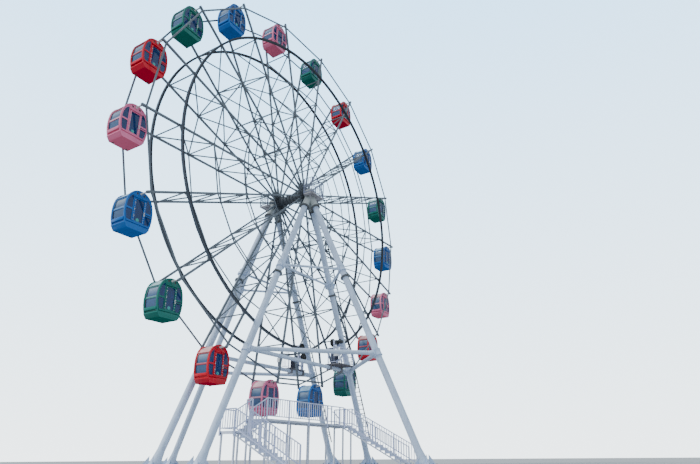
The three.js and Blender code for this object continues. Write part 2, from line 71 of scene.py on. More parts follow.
sky = bpy.data.worlds.new("sky")
bpy.context.scene.world = sky
sky.use_nodes = True
sky_tree = sky.node_tree
direction = sky_tree.nodes.new("ShaderNodeTexCoord")
height = sky_tree.nodes.new("ShaderNodeSeparateXYZ")
fade = sky_tree.nodes.new("ShaderNodeValToRGB")
horizon, zenith = fade.color_ramp.elements
horizon.position, horizon.color = 0.0, (0.84, 0.92, 0.96, 1)
zenith.position, zenith.color = 0.75, (0.36, 0.68, 1.0, 1)
lit_sky = sky_tree.nodes["Background"]
lit_sky.inputs["Color"].default_value = (0.78, 0.90, 1.0, 1)
lit_sky.inputs["Strength"].default_value = 0.95
seen_sky = sky_tree.nodes.new("ShaderNodeBackground")
seen_sky.inputs["Strength"].default_value = 4.0
chosen_sky = sky_tree.nodes.new("ShaderNodeMixShader")
rays = sky_tree.nodes.new("ShaderNodeLightPath")
through_glass = calc(sky_tree, "MULTIPLY", rays.outputs["Is Transmission Ray"], 0.5)
seen_share = calc(sky_tree, "MAXIMUM", rays.outputs["Is Camera Ray"], through_glass)
for source, target in (
    (direction.outputs["Generated"], height.inputs["Vector"]),
    (height.outputs["Z"], fade.inputs["Fac"]),
    (fade.outputs["Color"], seen_sky.inputs["Color"]),
    (seen_share, chosen_sky.inputs["Fac"]),
    (lit_sky.outputs["Background"], chosen_sky.inputs[1]),
    (seen_sky.outputs["Background"], chosen_sky.inputs[2]),
    (chosen_sky.outputs["Shader"], sky_tree.nodes["World Output"].inputs["Surface"]),
):
    sky_tree.links.new(source, target)

bpy.ops.object.light_add(type="SUN")
sun = bpy.context.object
sun.name = "soft_sun"
sun.data.energy = 2.6
sun.data.angle = math.radians(12)
sun.data.color = (1.0, 0.98, 0.94)
sun.visible_glossy = False
sun.rotation_euler = Vector((-0.52, 0.5, 0.8)).to_track_quat("Z", "Y").to_euler()

azimuth, pitch, roll = map(math.radians, (59.364, 19.611, -0.372))
bpy.ops.object.camera_add(location=(-25.969, -21.498, 0.403))
camera = bpy.context.object
camera.name = "camera"
camera.rotation_euler = (
    Matrix.Rotation(-azimuth, 3, "Z")
    @ Matrix.Rotation(math.pi / 2 + pitch, 3, "X")
    @ Matrix.Rotation(roll, 3, "Z")
).to_euler()
camera.data.sensor_width = 36
camera.data.lens = 27.87
camera.data.shift_x = -0.0277
camera.data.shift_y = 0.0480
camera.data.clip_end = 1000
bpy.context.scene.camera = camera

# The six raking legs: steel tubes painted pale blue-grey, flared at the foot on a thick base
# plate with ribs and anchor bolts, and bolted together at flanges in the upper half.


def group_sockets(group, way, kind, *names):
    """Gives a node group its inputs or outputs of one kind."""
    for name in names:
        group.interface.new_socket(name, in_out=way, socket_type=f"NodeSocket{kind}")


def group_node(tree, group):
    """A node in the tree that works by the group."""
    node = tree.nodes.new("ShaderNodeGroup")
    node.node_tree = group
    return node


def noise(tree, place, stretch, scale, detail):
    """A noise value over the object's own coordinates, stretched by `stretch`."""
    mapping = tree.nodes.new("ShaderNodeMapping")
    mapping.inputs["Scale"].default_value = stretch
    tree.links.new(place, mapping.inputs["Vector"])
    texture = tree.nodes.new("ShaderNodeTexNoise")
    texture.inputs["Scale"].default_value = scale
    texture.inputs["Detail"].default_value = detail
    tree.links.new(mapping.outputs["Vector"], texture.inputs["Vector"])
    return texture.outputs["Fac"]


def spread(tree, value, low, high):
    """`value` between `low` and `high` stretched to run from 0 to 1."""
    node = tree.nodes.new("ShaderNodeMapRange")
    node.inputs["From Min"].default_value = low
    node.inputs["From Max"].default_value = high
    tree.links.new(value, node.inputs["Value"])
    return node.outputs["Result"]


def blended(tree, share, first, second):
    """`first` where `share` is 0 and `second` where it is 1, each a socket or a colour."""
    node = tree.nodes.new("ShaderNodeMix")
    node.data_type = "RGBA"
    for name, value in (("Factor", share), ("A", first), ("B", second)):
        target = next(i for i in node.inputs if i.name == name and i.enabled)
        if isinstance(value, tuple):
            target.default_value = (*value, 1)
        else:
            tree.links.new(value, target)
    return next(o for o in node.outputs if o.enabled)


weathering = bpy.data.node_groups.new("weathering", "ShaderNodeTree")
group_sockets(weathering, "INPUT", "Color", "Paint", "Grime")
group_sockets(weathering, "INPUT", "Float", "Streaks", "Mottle", "Gloss", "Grain")
group_sockets(weathering, "OUTPUT", "Color", "Colour")
group_sockets(weathering, "OUTPUT", "Float", "Roughness", "Height")
given = weathering.nodes.new("NodeGroupInput").outputs
put_out = weathering.nodes.new("NodeGroupOutput").inputs
place = weathering.nodes.new("ShaderNodeTexCoord").outputs["Object"]
broad = noise(weathering, place, (1, 1, 1), 0.9, 3.0)
runs = noise(weathering, place, (1, 1, 0.1), 7.0, 4.0)
fine = noise(weathering, place, (1, 1, 1), 34.0, 2.0)
streaks = calc(weathering, "MULTIPLY", spread(weathering, runs, 0.5, 0.78), given["Streaks"])
mottle = calc(weathering, "MULTIPLY", spread(weathering, broad, 0.35, 0.7), given["Mottle"])
streaked = blended(weathering, streaks, given["Paint"], given["Grime"])
soiled = blended(weathering, mottle, streaked, given["Grime"])
dullness = calc(weathering, "ADD", calc(weathering, "MULTIPLY", fine, 0.18), given["Gloss"])
grain_map = weathering.nodes.new("ShaderNodeTexNoise")
for source, target in (
    (soiled, put_out["Colour"]),
    (calc(weathering, "ADD", dullness, streaks), put_out["Roughness"]),
    (place, grain_map.inputs["Vector"]),
    (given["Grain"], grain_map.inputs["Scale"]),
    (grain_map.outputs["Fac"], put_out["Height"]),
):
    weathering.links.new(source, target)


def painted(name, paint, grime, gloss=0.4, metallic=0.0, streaks=0.3, mottle=0.3, grain=90.0,
            bump=0.15, coat=0.0):
    """A weathered finish: rain runs and soft mottling over `paint`, with a fine surface grain."""
    material, tree, shader = new_material(name)
    wear = group_node(tree, weathering)
    for socket_name, value in (
        ("Paint", (*paint, 1)), ("Grime", (*grime, 1)), ("Streaks", streaks), ("Mottle", mottle),
        ("Gloss", gloss), ("Grain", grain),
    ):
        wear.inputs[socket_name].default_value = value
    relief = tree.nodes.new("ShaderNodeBump")
    relief.inputs["Strength"].default_value = bump
    relief.inputs["Distance"].default_value = 0.004
    tree.links.new(wear.outputs["Colour"], shader.inputs["Base Color"])
    tree.links.new(wear.outputs["Roughness"], shader.inputs["Roughness"])
    tree.links.new(wear.outputs["Height"], relief.inputs["Height"])
    tree.links.new(relief.outputs["Normal"], shader.inputs["Normal"])
    shader.inputs["Metallic"].default_value = metallic
    shader.inputs["Coat Weight"].default_value = coat
    return material


def aim(along, up=(0, 0, 1)):
    """The turn that points local Z along `along`, with local X square to `up`."""
    along = Vector(along).normalized()
    side = along.cross(Vector(up))
    if side.length < 1e-6:
        side = along.cross(Vector((1, 0, 0)))
    side.normalize()
    return Matrix((side, along.cross(side), along)).transposed()


def bar(start, end, radius, sides=16, tip=None, up=(0, 0, 1)):
    """A straight bar from start to end, tapering to `tip`, with its flats square to `up`."""
    start, end = Vector(start), Vector(end)
    turn = aim(end - start, up) @ Matrix.Rotation(math.pi / sides, 3, "Z")
    bpy.ops.mesh.primitive_cone_add(
        vertices=sides, radius1=radius, radius2=radius if tip is None else tip,
        depth=(end - start).length, location=(start + end) / 2, rotation=turn.to_euler(),
    )
    return bpy.context.object


def square_bar(start, end, size, up=(0, 0, 1), tip=None):
    """A square bar of that size across its flats."""
    tip = size if tip is None else tip
    return bar(start, end, size / math.sqrt(2), 4, tip / math.sqrt(2), up)


def block(corner, opposite):
    """A rectangular block between two opposite corners."""
    low, high = (Vector([pick(pair) for pair in zip(corner, opposite)]) for pick in (min, max))
    bpy.ops.mesh.primitive_cube_add(size=1, location=(low + high) / 2, scale=high - low)
    return bpy.context.object


def edit_all():
    """Opens the active piece for editing with all of it selected."""
    bpy.ops.object.mode_set(mode="EDIT")
    bpy.ops.mesh.select_all(action="SELECT")


def push(way):
    """Pushes what is selected out of its piece."""
    bpy.ops.mesh.extrude_region_move(TRANSFORM_OT_translate={"value": Vector(way)})


def edited():
    """The active piece, out of editing again, with its faces turned outward."""
    bpy.ops.mesh.select_all(action="SELECT")
    bpy.ops.mesh.normals_make_consistent(inside=False)
    bpy.ops.object.mode_set(mode="OBJECT")
    return bpy.context.object


def turned(start, end, outline, sides=40, ring=False):
    """A form turned about the line from start to end. The outline lists (distance, radius);
    `ring` closes it on itself, and otherwise both ends are capped."""
    start = Vector(start)
    along = (Vector(end) - start).normalized()
    distance, radius = outline[0]
    bpy.ops.mesh.primitive_circle_add(
        vertices=sides, radius=radius, fill_type="NOTHING" if ring else "NGON",
        location=start + along * distance, rotation=aim(along).to_euler(),
    )
    edit_all()
    for next_distance, next_radius in outline[1:] + (outline[:1] if ring else []):
        push(along * (next_distance - distance))
        if next_radius != radius:
            bpy.ops.transform.resize(
                value=(next_radius / radius,) * 3, center_override=start + along * next_distance,
            )
        distance, radius = next_distance, next_radius
    if ring:
        bpy.ops.mesh.select_all(action="SELECT")
        bpy.ops.mesh.remove_doubles(threshold=1e-5)
    return edited()


def mirrored(points):
    """A half outline and its mirror image, as one closed outline."""
    return points + [(-a, b) for a, b in reversed(points)]


def rectangle(a_low, b_low, a_high, b_high):
    return [(a_low, b_low), (a_high, b_low), (a_high, b_high), (a_low, b_high)]


def plate(corners, way, rounding=0.0, segments=3):
    """A flat plate: the corners' outline pushed through by `way`, its corners rounded."""
    bpy.ops.mesh.primitive_circle_add(vertices=len(corners), fill_type="NGON")
    for vertex, corner in zip(bpy.context.object.data.vertices, corners):
        vertex.co = corner
    edit_all()
    if rounding:
        bpy.ops.mesh.bevel(offset=rounding, segments=segments, affect="VERTICES")
        bpy.ops.mesh.select_all(action="SELECT")
    push(way)
    return edited()


def tab(spot, first, second, outline, way, shift=Vector(), rounding=0.0, segments=3):
    """A plate with its outline laid from `spot` along two directions, then moved by `shift`."""
    corners = [spot + first * a + second * b + shift for a, b in outline]
    return plate(corners, way, rounding, segments)


def bolts(centre, along, ring_radius, count, size, reach):
    """A ring of hexagon heads that stand out along `along` round `centre`."""
    turn = aim(along)
    heads = []
    for i in range(count):
        angle = 2 * math.pi * i / count
        spot = Vector(centre) + turn @ Vector((math.cos(angle), math.sin(angle), 0)) * ring_radius
        heads.append(bar(spot, spot + Vector(along).normalized() * reach, size, 6))
    return heads


def select_only(pieces):
    bpy.ops.object.select_all(action="DESELECT")
    for piece in pieces:
        piece.select_set(True)
    bpy.context.view_layer.objects.active = pieces[0]


def settle():
    """Works the place of what is selected into its mesh."""
    bpy.ops.object.transform_apply(location=True, rotation=True, scale=True)


def joined(parts, name):
    """The parts as one named piece, with its place in its mesh."""
    select_only(parts)
    bpy.ops.object.join()
    settle()
    piece = bpy.context.object
    piece.name = piece.data.name = name
    return piece


def applied(piece, kind, **settings):
    """The piece with a modifier of that kind worked into its mesh."""
    select_only([piece])
    modifier = piece.modifiers.new(kind.lower(), kind)
    for key, value in settings.items():
        setattr(modifier, key, value)
    bpy.ops.object.modifier_apply(modifier=modifier.name)
    return piece


def softened(piece, width, segments=1, angle=50):
    """Breaks the piece's sharp edges and shades its round faces smooth."""
    if width:
        applied(
            piece, "BEVEL", width=width, segments=segments, limit_method="ANGLE",
            angle_limit=math.radians(angle), use_clamp_overlap=True,
        )
    select_only([piece])
    bpy.ops.object.shade_smooth_by_angle(angle=math.radians(40))
    return piece


def fitted(piece, material, slot, body, *nodes):
    """Gives a finished piece its finish and the body it moves with."""
    piece.data.materials.clear()
    piece.data.materials.append(material)
    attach(piece, body)
    if nodes:
        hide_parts(*nodes)
    return piece


def built(name, parts, edge, material, slot, body, *nodes):
    """The parts as one named piece, its edges broken by `edge`, with its finish and body."""
    return fitted(softened(joined(parts, name), edge), material, slot, body, *nodes)


hub_height, bearing_y = 17.1, 1.515
sides = {"near": -1, "far": 1}
rise = Vector((0, 0, 1))
leg_ways = {
    "left": Vector((-0.4412, 0, -1)),
    "right": Vector((0.4412, 0, -1)),
    "outer": Vector((0, 0.4525, -1)),
}
leg_radius, foot_radius, foot_flare = 0.19, 0.34, 1.09
plate_half, plate_thickness = 0.525, 0.05
anchor_inset = 0.44
splice_drop, splice_reach = 6.37, 0.275
socket_reach, root_reach = 1.25, 0.3
leg_paint = painted("pale_blue_steel", (0.64, 0.76, 0.96), (0.30, 0.38, 0.50), gloss=0.38, streaks=0.35)
# The flanges and anchor bolts are painted much darker than the legs.
flange_paint = painted(
    "dark_flange_steel", (0.16, 0.17, 0.18), (0.07, 0.055, 0.045), gloss=0.5, metallic=0.3,
    streaks=0.5, mottle=0.4,
)


def leg_point(side, leg, drop):
    """The point on a leg's middle line `drop` below the axle."""
    way = leg_ways[leg]
    return Vector((way.x * drop, sides[side] * (bearing_y + way.y * drop), hub_height - drop))


def leg_way(side, leg):
    """The direction that a leg runs down."""
    return (leg_point(side, leg, 1) - leg_point(side, leg, 0)).normalized()


for side in sides:
    for leg, lean in leg_ways.items():
        name = f"leg_{side}_{leg}"
        foot = leg_point(side, leg, hub_height)
        low_end = leg_point(side, leg, hub_height + 0.15)
        high_end = leg_point(side, leg, (socket_reach + 0.002) / lean.length)
        tube = turned(low_end, high_end, [
            (0, foot_radius), (foot_flare * 0.55, 0.245), (foot_flare, leg_radius),
            ((high_end - low_end).length, leg_radius),
        ])
        select_only([tube])
        settle()
        edit_all()
        bpy.ops.mesh.bisect(
            plane_co=(0, 0, plate_thickness / 2), plane_no=(0, 0, 1), use_fill=True, clear_inner=True,
        )
        bpy.ops.object.mode_set(mode="OBJECT")
        parts = [tube, block(
            (foot.x - plate_half, foot.y - plate_half, 0),
            (foot.x + plate_half, foot.y + plate_half, plate_thickness),
        )]
        for quarter in range(4):
            out = Matrix.Rotation(math.pi / 4 + quarter * math.pi / 2, 3, "Z") @ Vector((1, 0, 0))
            across = Vector((-out.y, out.x, 0)) * 0.015
            base = Vector((foot.x, foot.y, plate_thickness - 0.005)) - across
            rib = [(0.2, 0), (0.6, 0), (0.6, 0.05), (0.2, 0.55)]
            parts.append(tab(base, out, rise, rib, across * 2))
        built(f"{name}_tube", parts, 0.006, leg_paint, "white_steel", "root", name)

        way = leg_way(side, leg)
        joints = []
        for drop, reach in ((splice_drop, splice_reach), (socket_reach / lean.length, root_reach)):
            middle = leg_point(side, leg, drop)
            joints.append(turned(middle, middle + way, mirrored([
                (-0.045, leg_radius + 0.004), (-0.045, reach), (-0.004, reach), (-0.004, reach - 0.012),
            ]), ring=True))
            for away in (-1, 1):
                joints += bolts(middle + way * 0.045 * away, way * away, reach - 0.038, 14, 0.02, 0.03)
        for x in (-anchor_inset, anchor_inset):
            for y in (-anchor_inset, anchor_inset):
                for spot_x, spot_y in ((x, y), (x, 0), (0, y)):
                    spot = foot + Vector((spot_x, spot_y, plate_thickness))
                    joints.append(bar(spot, spot + rise * 0.045, 0.04, 6))
                    joints.append(bar(spot, spot + rise * 0.11, 0.018, 8))
        built(f"{name}_flanges", joints, 0.0, flange_paint, "dark_steel", "root")

# The brace triangles: steel tubes welded between two-part clamps that grip the legs at two
# levels, thick ones under the drive platforms and thin ones above.
brace_levels = {"lower": 5.918, "upper": 11.309}
brace_radii = {"lower": 0.118, "upper": 0.072}
collar_radius, collar_half = 0.256, 0.19

for side in sides:
    for level, brace_height in brace_levels.items():
        radius = brace_radii[level]
        drop = hub_height - brace_height
        grips = [leg_point(side, leg, drop) for leg in leg_ways]
        middle = (grips[0] + grips[1] + grips[2]) / 3
        parts = []
        for i, leg in enumerate(leg_ways):
            here, there = grips[i], grips[(i + 1) % 3]
            length = (there - here).length
            parts.append(turned(here + (there - here).normalized() * 0.2, there, [
                (0, radius * 1.25), (0.16, radius * 1.25), (0.2, radius), (length - 0.6, radius),
                (length - 0.56, radius * 1.25), (length - 0.4, radius * 1.25),
            ], sides=24))
            way = leg_way(side, leg)
            parts.append(turned(here, here + way, mirrored([
                (-collar_half, leg_radius + 0.0008), (-collar_half, collar_radius),
                (-collar_half + 0.03, collar_radius), (-collar_half + 0.04, collar_radius - 0.02),
            ]), ring=True))
            away = (here - middle).normalized()
            across = way.cross(away).normalized()
            for hand in (-1, 1):
                ear = here + across * hand * (collar_radius + 0.03)
                outline = [(-0.14, -0.05), (-0.14, 0.04), (0.14, 0.04), (0.14, -0.05)]
                parts.append(tab(ear, way, across, outline, away * 0.06, away * -0.03, 0.02))
                for a in (-0.09, 0, 0.09):
                    spot = ear + way * a + across * 0.005
                    parts.append(bar(spot - away * 0.055, spot + away * 0.055, 0.02, 6))
        name = f"brace_{level}_{side}"
        built(f"{name}_tubes", parts, 0.004, leg_paint, "white_steel", "root", name)

# The bearing heads: on each tripod a welded head with three bolted leg sockets, web plates
# between them and the axle's bearing housing, and beside it a small railed service platform.
housing_radius, housing_half = 0.33, 0.25
stub_radius = 0.232
platform_left, platform_right = -0.70, 0.62
platform_inner, platform_outer = 1.5, 2.22
platform_top, platform_thickness = 16.82, 0.06
hub_guard_height = 1.08
head_paint = painted(
    "head_casting_paint", (0.56, 0.60, 0.60), (0.16, 0.16, 0.16), gloss=0.45, streaks=0.55, mottle=0.5,
)
underside_paint = painted(
    "brown_worn_floor", (0.52, 0.51, 0.56), (0.22, 0.19, 0.20), gloss=0.6, mottle=0.6,
)
hub_guard_paint = painted("lavender_guard_steel", (0.24, 0.27, 0.40), (0.2, 0.2, 0.26))


def repeated(part, step, count):
    """The part and `count` - 1 copies of it, each moved on by `step`."""
    select_only([part])
    settle()
    return applied(
        part, "ARRAY", count=count, use_relative_offset=False, use_constant_offset=True,
        constant_offset_displace=Vector(step),
    )


def guard(line, height, low, size, post, baluster, pitch, post_pitch=9.0, sunk=0.0):
    """Railing parts over a line of floor points: square posts, a round top rail, a lower rail
    and close upright balusters between them."""
    parts = []
    for i, (a, b) in enumerate(zip(line, line[1:])):
        a, b = Vector(a), Vector(b)
        level = math.hypot(b.x - a.x, b.y - a.y)
        parts.append(bar(a + rise * height, b + rise * height, size / 2, 10))
        parts.append(square_bar(a + rise * low, b + rise * low, size * 0.8))
        bays = max(1, round(level / post_pitch))
        for j in range(0 if i == 0 else 1, bays + 1):
            spot = a.lerp(b, j / bays)
            foot = max(0.0, spot.z - sunk)
            parts.append(square_bar((spot.x, spot.y, foot), spot + rise * height, post))
        gaps = max(2, round(level / pitch))
        step = (b - a) / gaps
        upright = bar(a + step + rise * low, a + step + rise * height, baluster / 2, 8)
        parts.append(repeated(upright, step, gaps - 1))
    return parts


def floor_beams(cross_xs, low_y, high_y, base, top):
    """The edge beams and cross beams under a small platform, each 5 cm wide."""
    ends = [block((cross_xs[0], y, base), (cross_xs[-1] + 0.05, y + 0.05, top))
            for y in (low_y, high_y - 0.05)]
    return ends + [block((x, low_y, base), (x + 0.05, high_y, top)) for x in cross_xs]


def guard_line(left, right, start, end, z):
    """Floor points round three sides of a platform, out from the wheel and back to it."""
    left, right = left + 0.03, right - 0.03
    return [(left, start, z), (left, end, z), (right, end, z), (right, start, z)]


def web(centre, first, second, reach, knee, shift, way):
    """A web plate between two directions from the centre, by way of the corner `knee`."""
    corners = [first * 0.2, first * reach, knee, second * reach, second * 0.2]
    return plate([centre + corner + shift for corner in corners], way)


for side, way in sides.items():
    name = f"bearing_head_{side}"
    centre = Vector((0, way * bearing_y, hub_height))
    out = Vector((0, way, 0))
    parts = [turned(centre, centre + out, [
        (-housing_half, 0.17), (-housing_half, 0.29), (-housing_half + 0.04, housing_radius),
        (0.16, housing_radius), (0.17, housing_radius + 0.015), (0.21, housing_radius + 0.015),
        (0.22, housing_radius - 0.02), (housing_half, housing_radius - 0.03),
        (housing_half, 0.21), (housing_half + 0.06, 0.2), (housing_half + 0.08, 0.17),
    ], sides=48)]
    parts += bolts(centre + out * housing_half, out, 0.26, 12, 0.024, 0.03)
    parts += bolts(centre + out * (housing_half + 0.08), out, 0.1, 6, 0.02, 0.02)
    left, right, outer = (leg_way(side, leg) for leg in leg_ways)
    for leg in (left, right, outer):
        parts.append(turned(centre, centre + leg, [
            (0.05, stub_radius - 0.03), (0.3, stub_radius), (socket_reach - 0.16, stub_radius),
            (socket_reach - 0.05, stub_radius - 0.03), (socket_reach - 0.0015, stub_radius - 0.03),
        ]))
    for y in (-0.1, 0.1):
        shift = Vector((0, y - 0.012, 0))
        parts.append(web(centre, left, right, 0.86, rise * -0.45, shift, (0, 0.024, 0)))
    for leg in (left, right):
        across = leg.cross(outer).normalized() * 0.012
        knee = (leg + outer).normalized() * 0.42
        parts.append(web(centre, leg, outer, 0.8, knee, -across, across * 2))
    crown = centre + Vector((0, 0, housing_radius - 0.01))
    lug = [(-0.12, 0), (-0.06, 0.13), (0.06, 0.13), (0.12, 0)]
    parts.append(plate([crown + Vector((x, -0.012, z)) for x, z in lug], (0, 0.024, 0), 0.03))
    built(f"{name}_casting", parts, 0.005, head_paint, "white_steel", "root", name)

    low_y, high_y = sorted((way * platform_inner, way * platform_outer))
    under = platform_top - platform_thickness
    parts = [block((platform_left, low_y, platform_top - 0.012), (platform_right, high_y, platform_top))]
    cross_xs = (platform_left, -0.29, 0.16, platform_right - 0.05)
    parts += floor_beams(cross_xs, low_y, high_y, under, platform_top - 0.01)
    for x in (-0.42, 0.2):
        foot = centre + Vector((x * 0.4, 0, -0.6)) + out * 0.15
        parts.append(square_bar(foot, (x, way * (platform_outer - 0.3), under + 0.02), 0.05))
    built(f"hub_platform_{side}", parts, 0.003, underside_paint, "white_steel", "root")
    line = guard_line(
        platform_left, platform_right, way * (platform_inner + 0.06), way * (platform_outer - 0.03),
        platform_top,
    )
    middle_line = [(x, y, z + 0.5) for x, y, z in line]
    rails = guard(line, hub_guard_height, 0.1, size=0.046, post=0.05, baluster=0.034, pitch=0.15)
    rails += guard(middle_line, 0.01, 0.0, size=0.03, post=0.03, baluster=0.01, pitch=9.0)
    built(f"hub_platform_{side}_guard", rails, 0.0, hub_guard_paint, "white_steel", "root")

# The access ladders: two side rails and round rungs on stand-off arms up the right-hand legs,
# with a dark cable clipped along the rail that feeds the hub.
ladder_offset, ladder_shift = 0.36, 0.09
ladder_half, rung_pitch = 0.21, 0.3
ladder_start, ladder_end = 1.3, 1.5
arm_count, arm_inset = 8, 0.6
clip_pitch = 0.6
ladder_paint = painted(
    "ladder_worn_steel", (0.055, 0.06, 0.07), (0.04, 0.04, 0.04), gloss=0.45, metallic=0.3, streaks=0.4,
)
cable_skin = painted("black_cable_skin", (0.035, 0.037, 0.04), (0.12, 0.12, 0.12), gloss=0.5, streaks=0.1)


def cable(points, radius):
    """A round cable through the points, as a mesh."""
    bpy.ops.curve.primitive_bezier_curve_add()
    lead = bpy.context.object
    spline = lead.data.splines[0]
    spline.bezier_points.add(len(points) - 2)
    for knot, point in zip(spline.bezier_points, points):
        knot.co = point
        knot.handle_left_type = knot.handle_right_type = "AUTO"
    lead.data.resolution_u = 2
    lead.data.bevel_depth = radius
    lead.data.bevel_resolution = 1
    lead.data.use_fill_caps = True
    bpy.ops.object.convert(target="MESH")
    return bpy.context.object


def on_ladder(side, distance, across, offset=ladder_offset):
    """A point of the ladder: `distance` down it, `across` from its middle."""
    down = leg_way(side, "right")
    outward = Vector((-down.z, 0, down.x))
    return (leg_point(side, "right", 0) + down * distance + outward * offset
            + Vector((0, sides[side] * ladder_shift + across, 0)))


for side in sides:
    down = leg_way(side, "right")
    outward = Vector((-down.z, 0, down.x))
    ladder_foot = hub_height / -down.z - ladder_end
    length = ladder_foot - ladder_start
    edges = (-ladder_half, ladder_half)
    parts = [square_bar(on_ladder(side, ladder_start, edge), on_ladder(side, ladder_foot, edge), 0.056)
             for edge in edges]
    rung = bar(*(on_ladder(side, ladder_start + rung_pitch / 2, edge) for edge in edges), 0.024, 8)
    parts.append(repeated(rung, down * rung_pitch, int(length / rung_pitch)))
    for i in range(arm_count):
        distance = ladder_start + arm_inset + (length - 2 * arm_inset) * i / (arm_count - 1)
        root = leg_point(side, "right", 0) + down * distance
        for hand in (-1, 1):
            arm_root = root + outward * 0.15 + Vector((0, hand * 0.1, 0))
            parts.append(square_bar(on_ladder(side, distance, hand * ladder_half), arm_root, 0.035))
    built(f"ladder_{side}_frame", parts, 0.0, ladder_paint, "grey_steel", "root", f"ladder_{side}")
    wander = [(0.0, 0.02), (0.012, 0.035), (-0.01, 0.028), (0.016, 0.022)]
    points = []
    for i in range(int(length / clip_pitch) + 1):
        shift, lift = wander[i % 4]
        points.append(on_ladder(
            side, ladder_start + clip_pitch * i, ladder_half + 0.04 + shift, ladder_offset + lift,
        ))
    strap = [cable(points, 0.018)]
    for point in points[1:-1]:
        strap.append(block(point - Vector((0.022, 0.03, 0.022)), point + Vector((0.022, 0.02, 0.022))))
    built(f"ladder_{side}_cable", strap, 0.0, cable_skin, "black_trim", "root")

# The drive platforms: on each tripod's lower brace a small railed floor with a post that
# holds two geared motors, whose rubber tyres grip the rim from outside and inside.
rim_radius, rim_depth = 10.398, 0.2
rim_y, rim_width = 1.223, 0.14
tyre_reach = 0.239
drive_angles = {"near": math.radians(-70), "far": math.radians(-71)}
drive_inner, drive_outer = 1.34, 2.45
drive_top, drive_thickness = 6.12, 0.06
post_depth, post_half = 0.13, 0.24
clamp_half = 0.175
guard_height = 1.0
guard_paint = painted(
    "white_guard_steel", (0.68, 0.74, 0.98), (0.42, 0.45, 0.58), streaks=0.25, mottle=0.15,
)
motor_paint = painted(
    "drive_dark_enamel", (0.045, 0.05, 0.058), (0.10, 0.10, 0.10), streaks=0.4, mottle=0.5,
)
floor_grey = painted(
    "platform_brown_steel", (0.27, 0.26, 0.29), (0.12, 0.10, 0.10), gloss=0.5, metallic=0.2,
    streaks=0.4, mottle=0.5,
)
cabinet_navy = painted("cabinet_navy_enamel", (0.012, 0.016, 0.042), (0.05, 0.05, 0.06))
box_white = painted("switch_box_white", (0.90, 0.93, 0.97), (0.55, 0.55, 0.55), gloss=0.35, mottle=0.2)
tyre_black = painted(
    "worn_black_rubber", (0.022, 0.022, 0.024), (0.10, 0.095, 0.09), gloss=0.75, streaks=0.05,
    mottle=0.4, grain=140, bump=0.4,
)
wheel_silver = painted(
    "dull_wheel_disc", (0.10, 0.105, 0.11), (0.06, 0.055, 0.05), gloss=0.45, metallic=0.5, streaks=0.2,
)


def tyre_centre(side, place):
    """Where a drive tyre's shaft stands: outside (+1) or inside (-1) the rim."""
    edge = rim_radius + place * rim_depth / 2
    if place < 0:
        edge *= math.cos(math.pi / 54)
    reach = edge + place * tyre_reach
    angle = drive_angles[side]
    return Vector((reach * math.cos(angle), sides[side] * rim_y, hub_height + reach * math.sin(angle)))


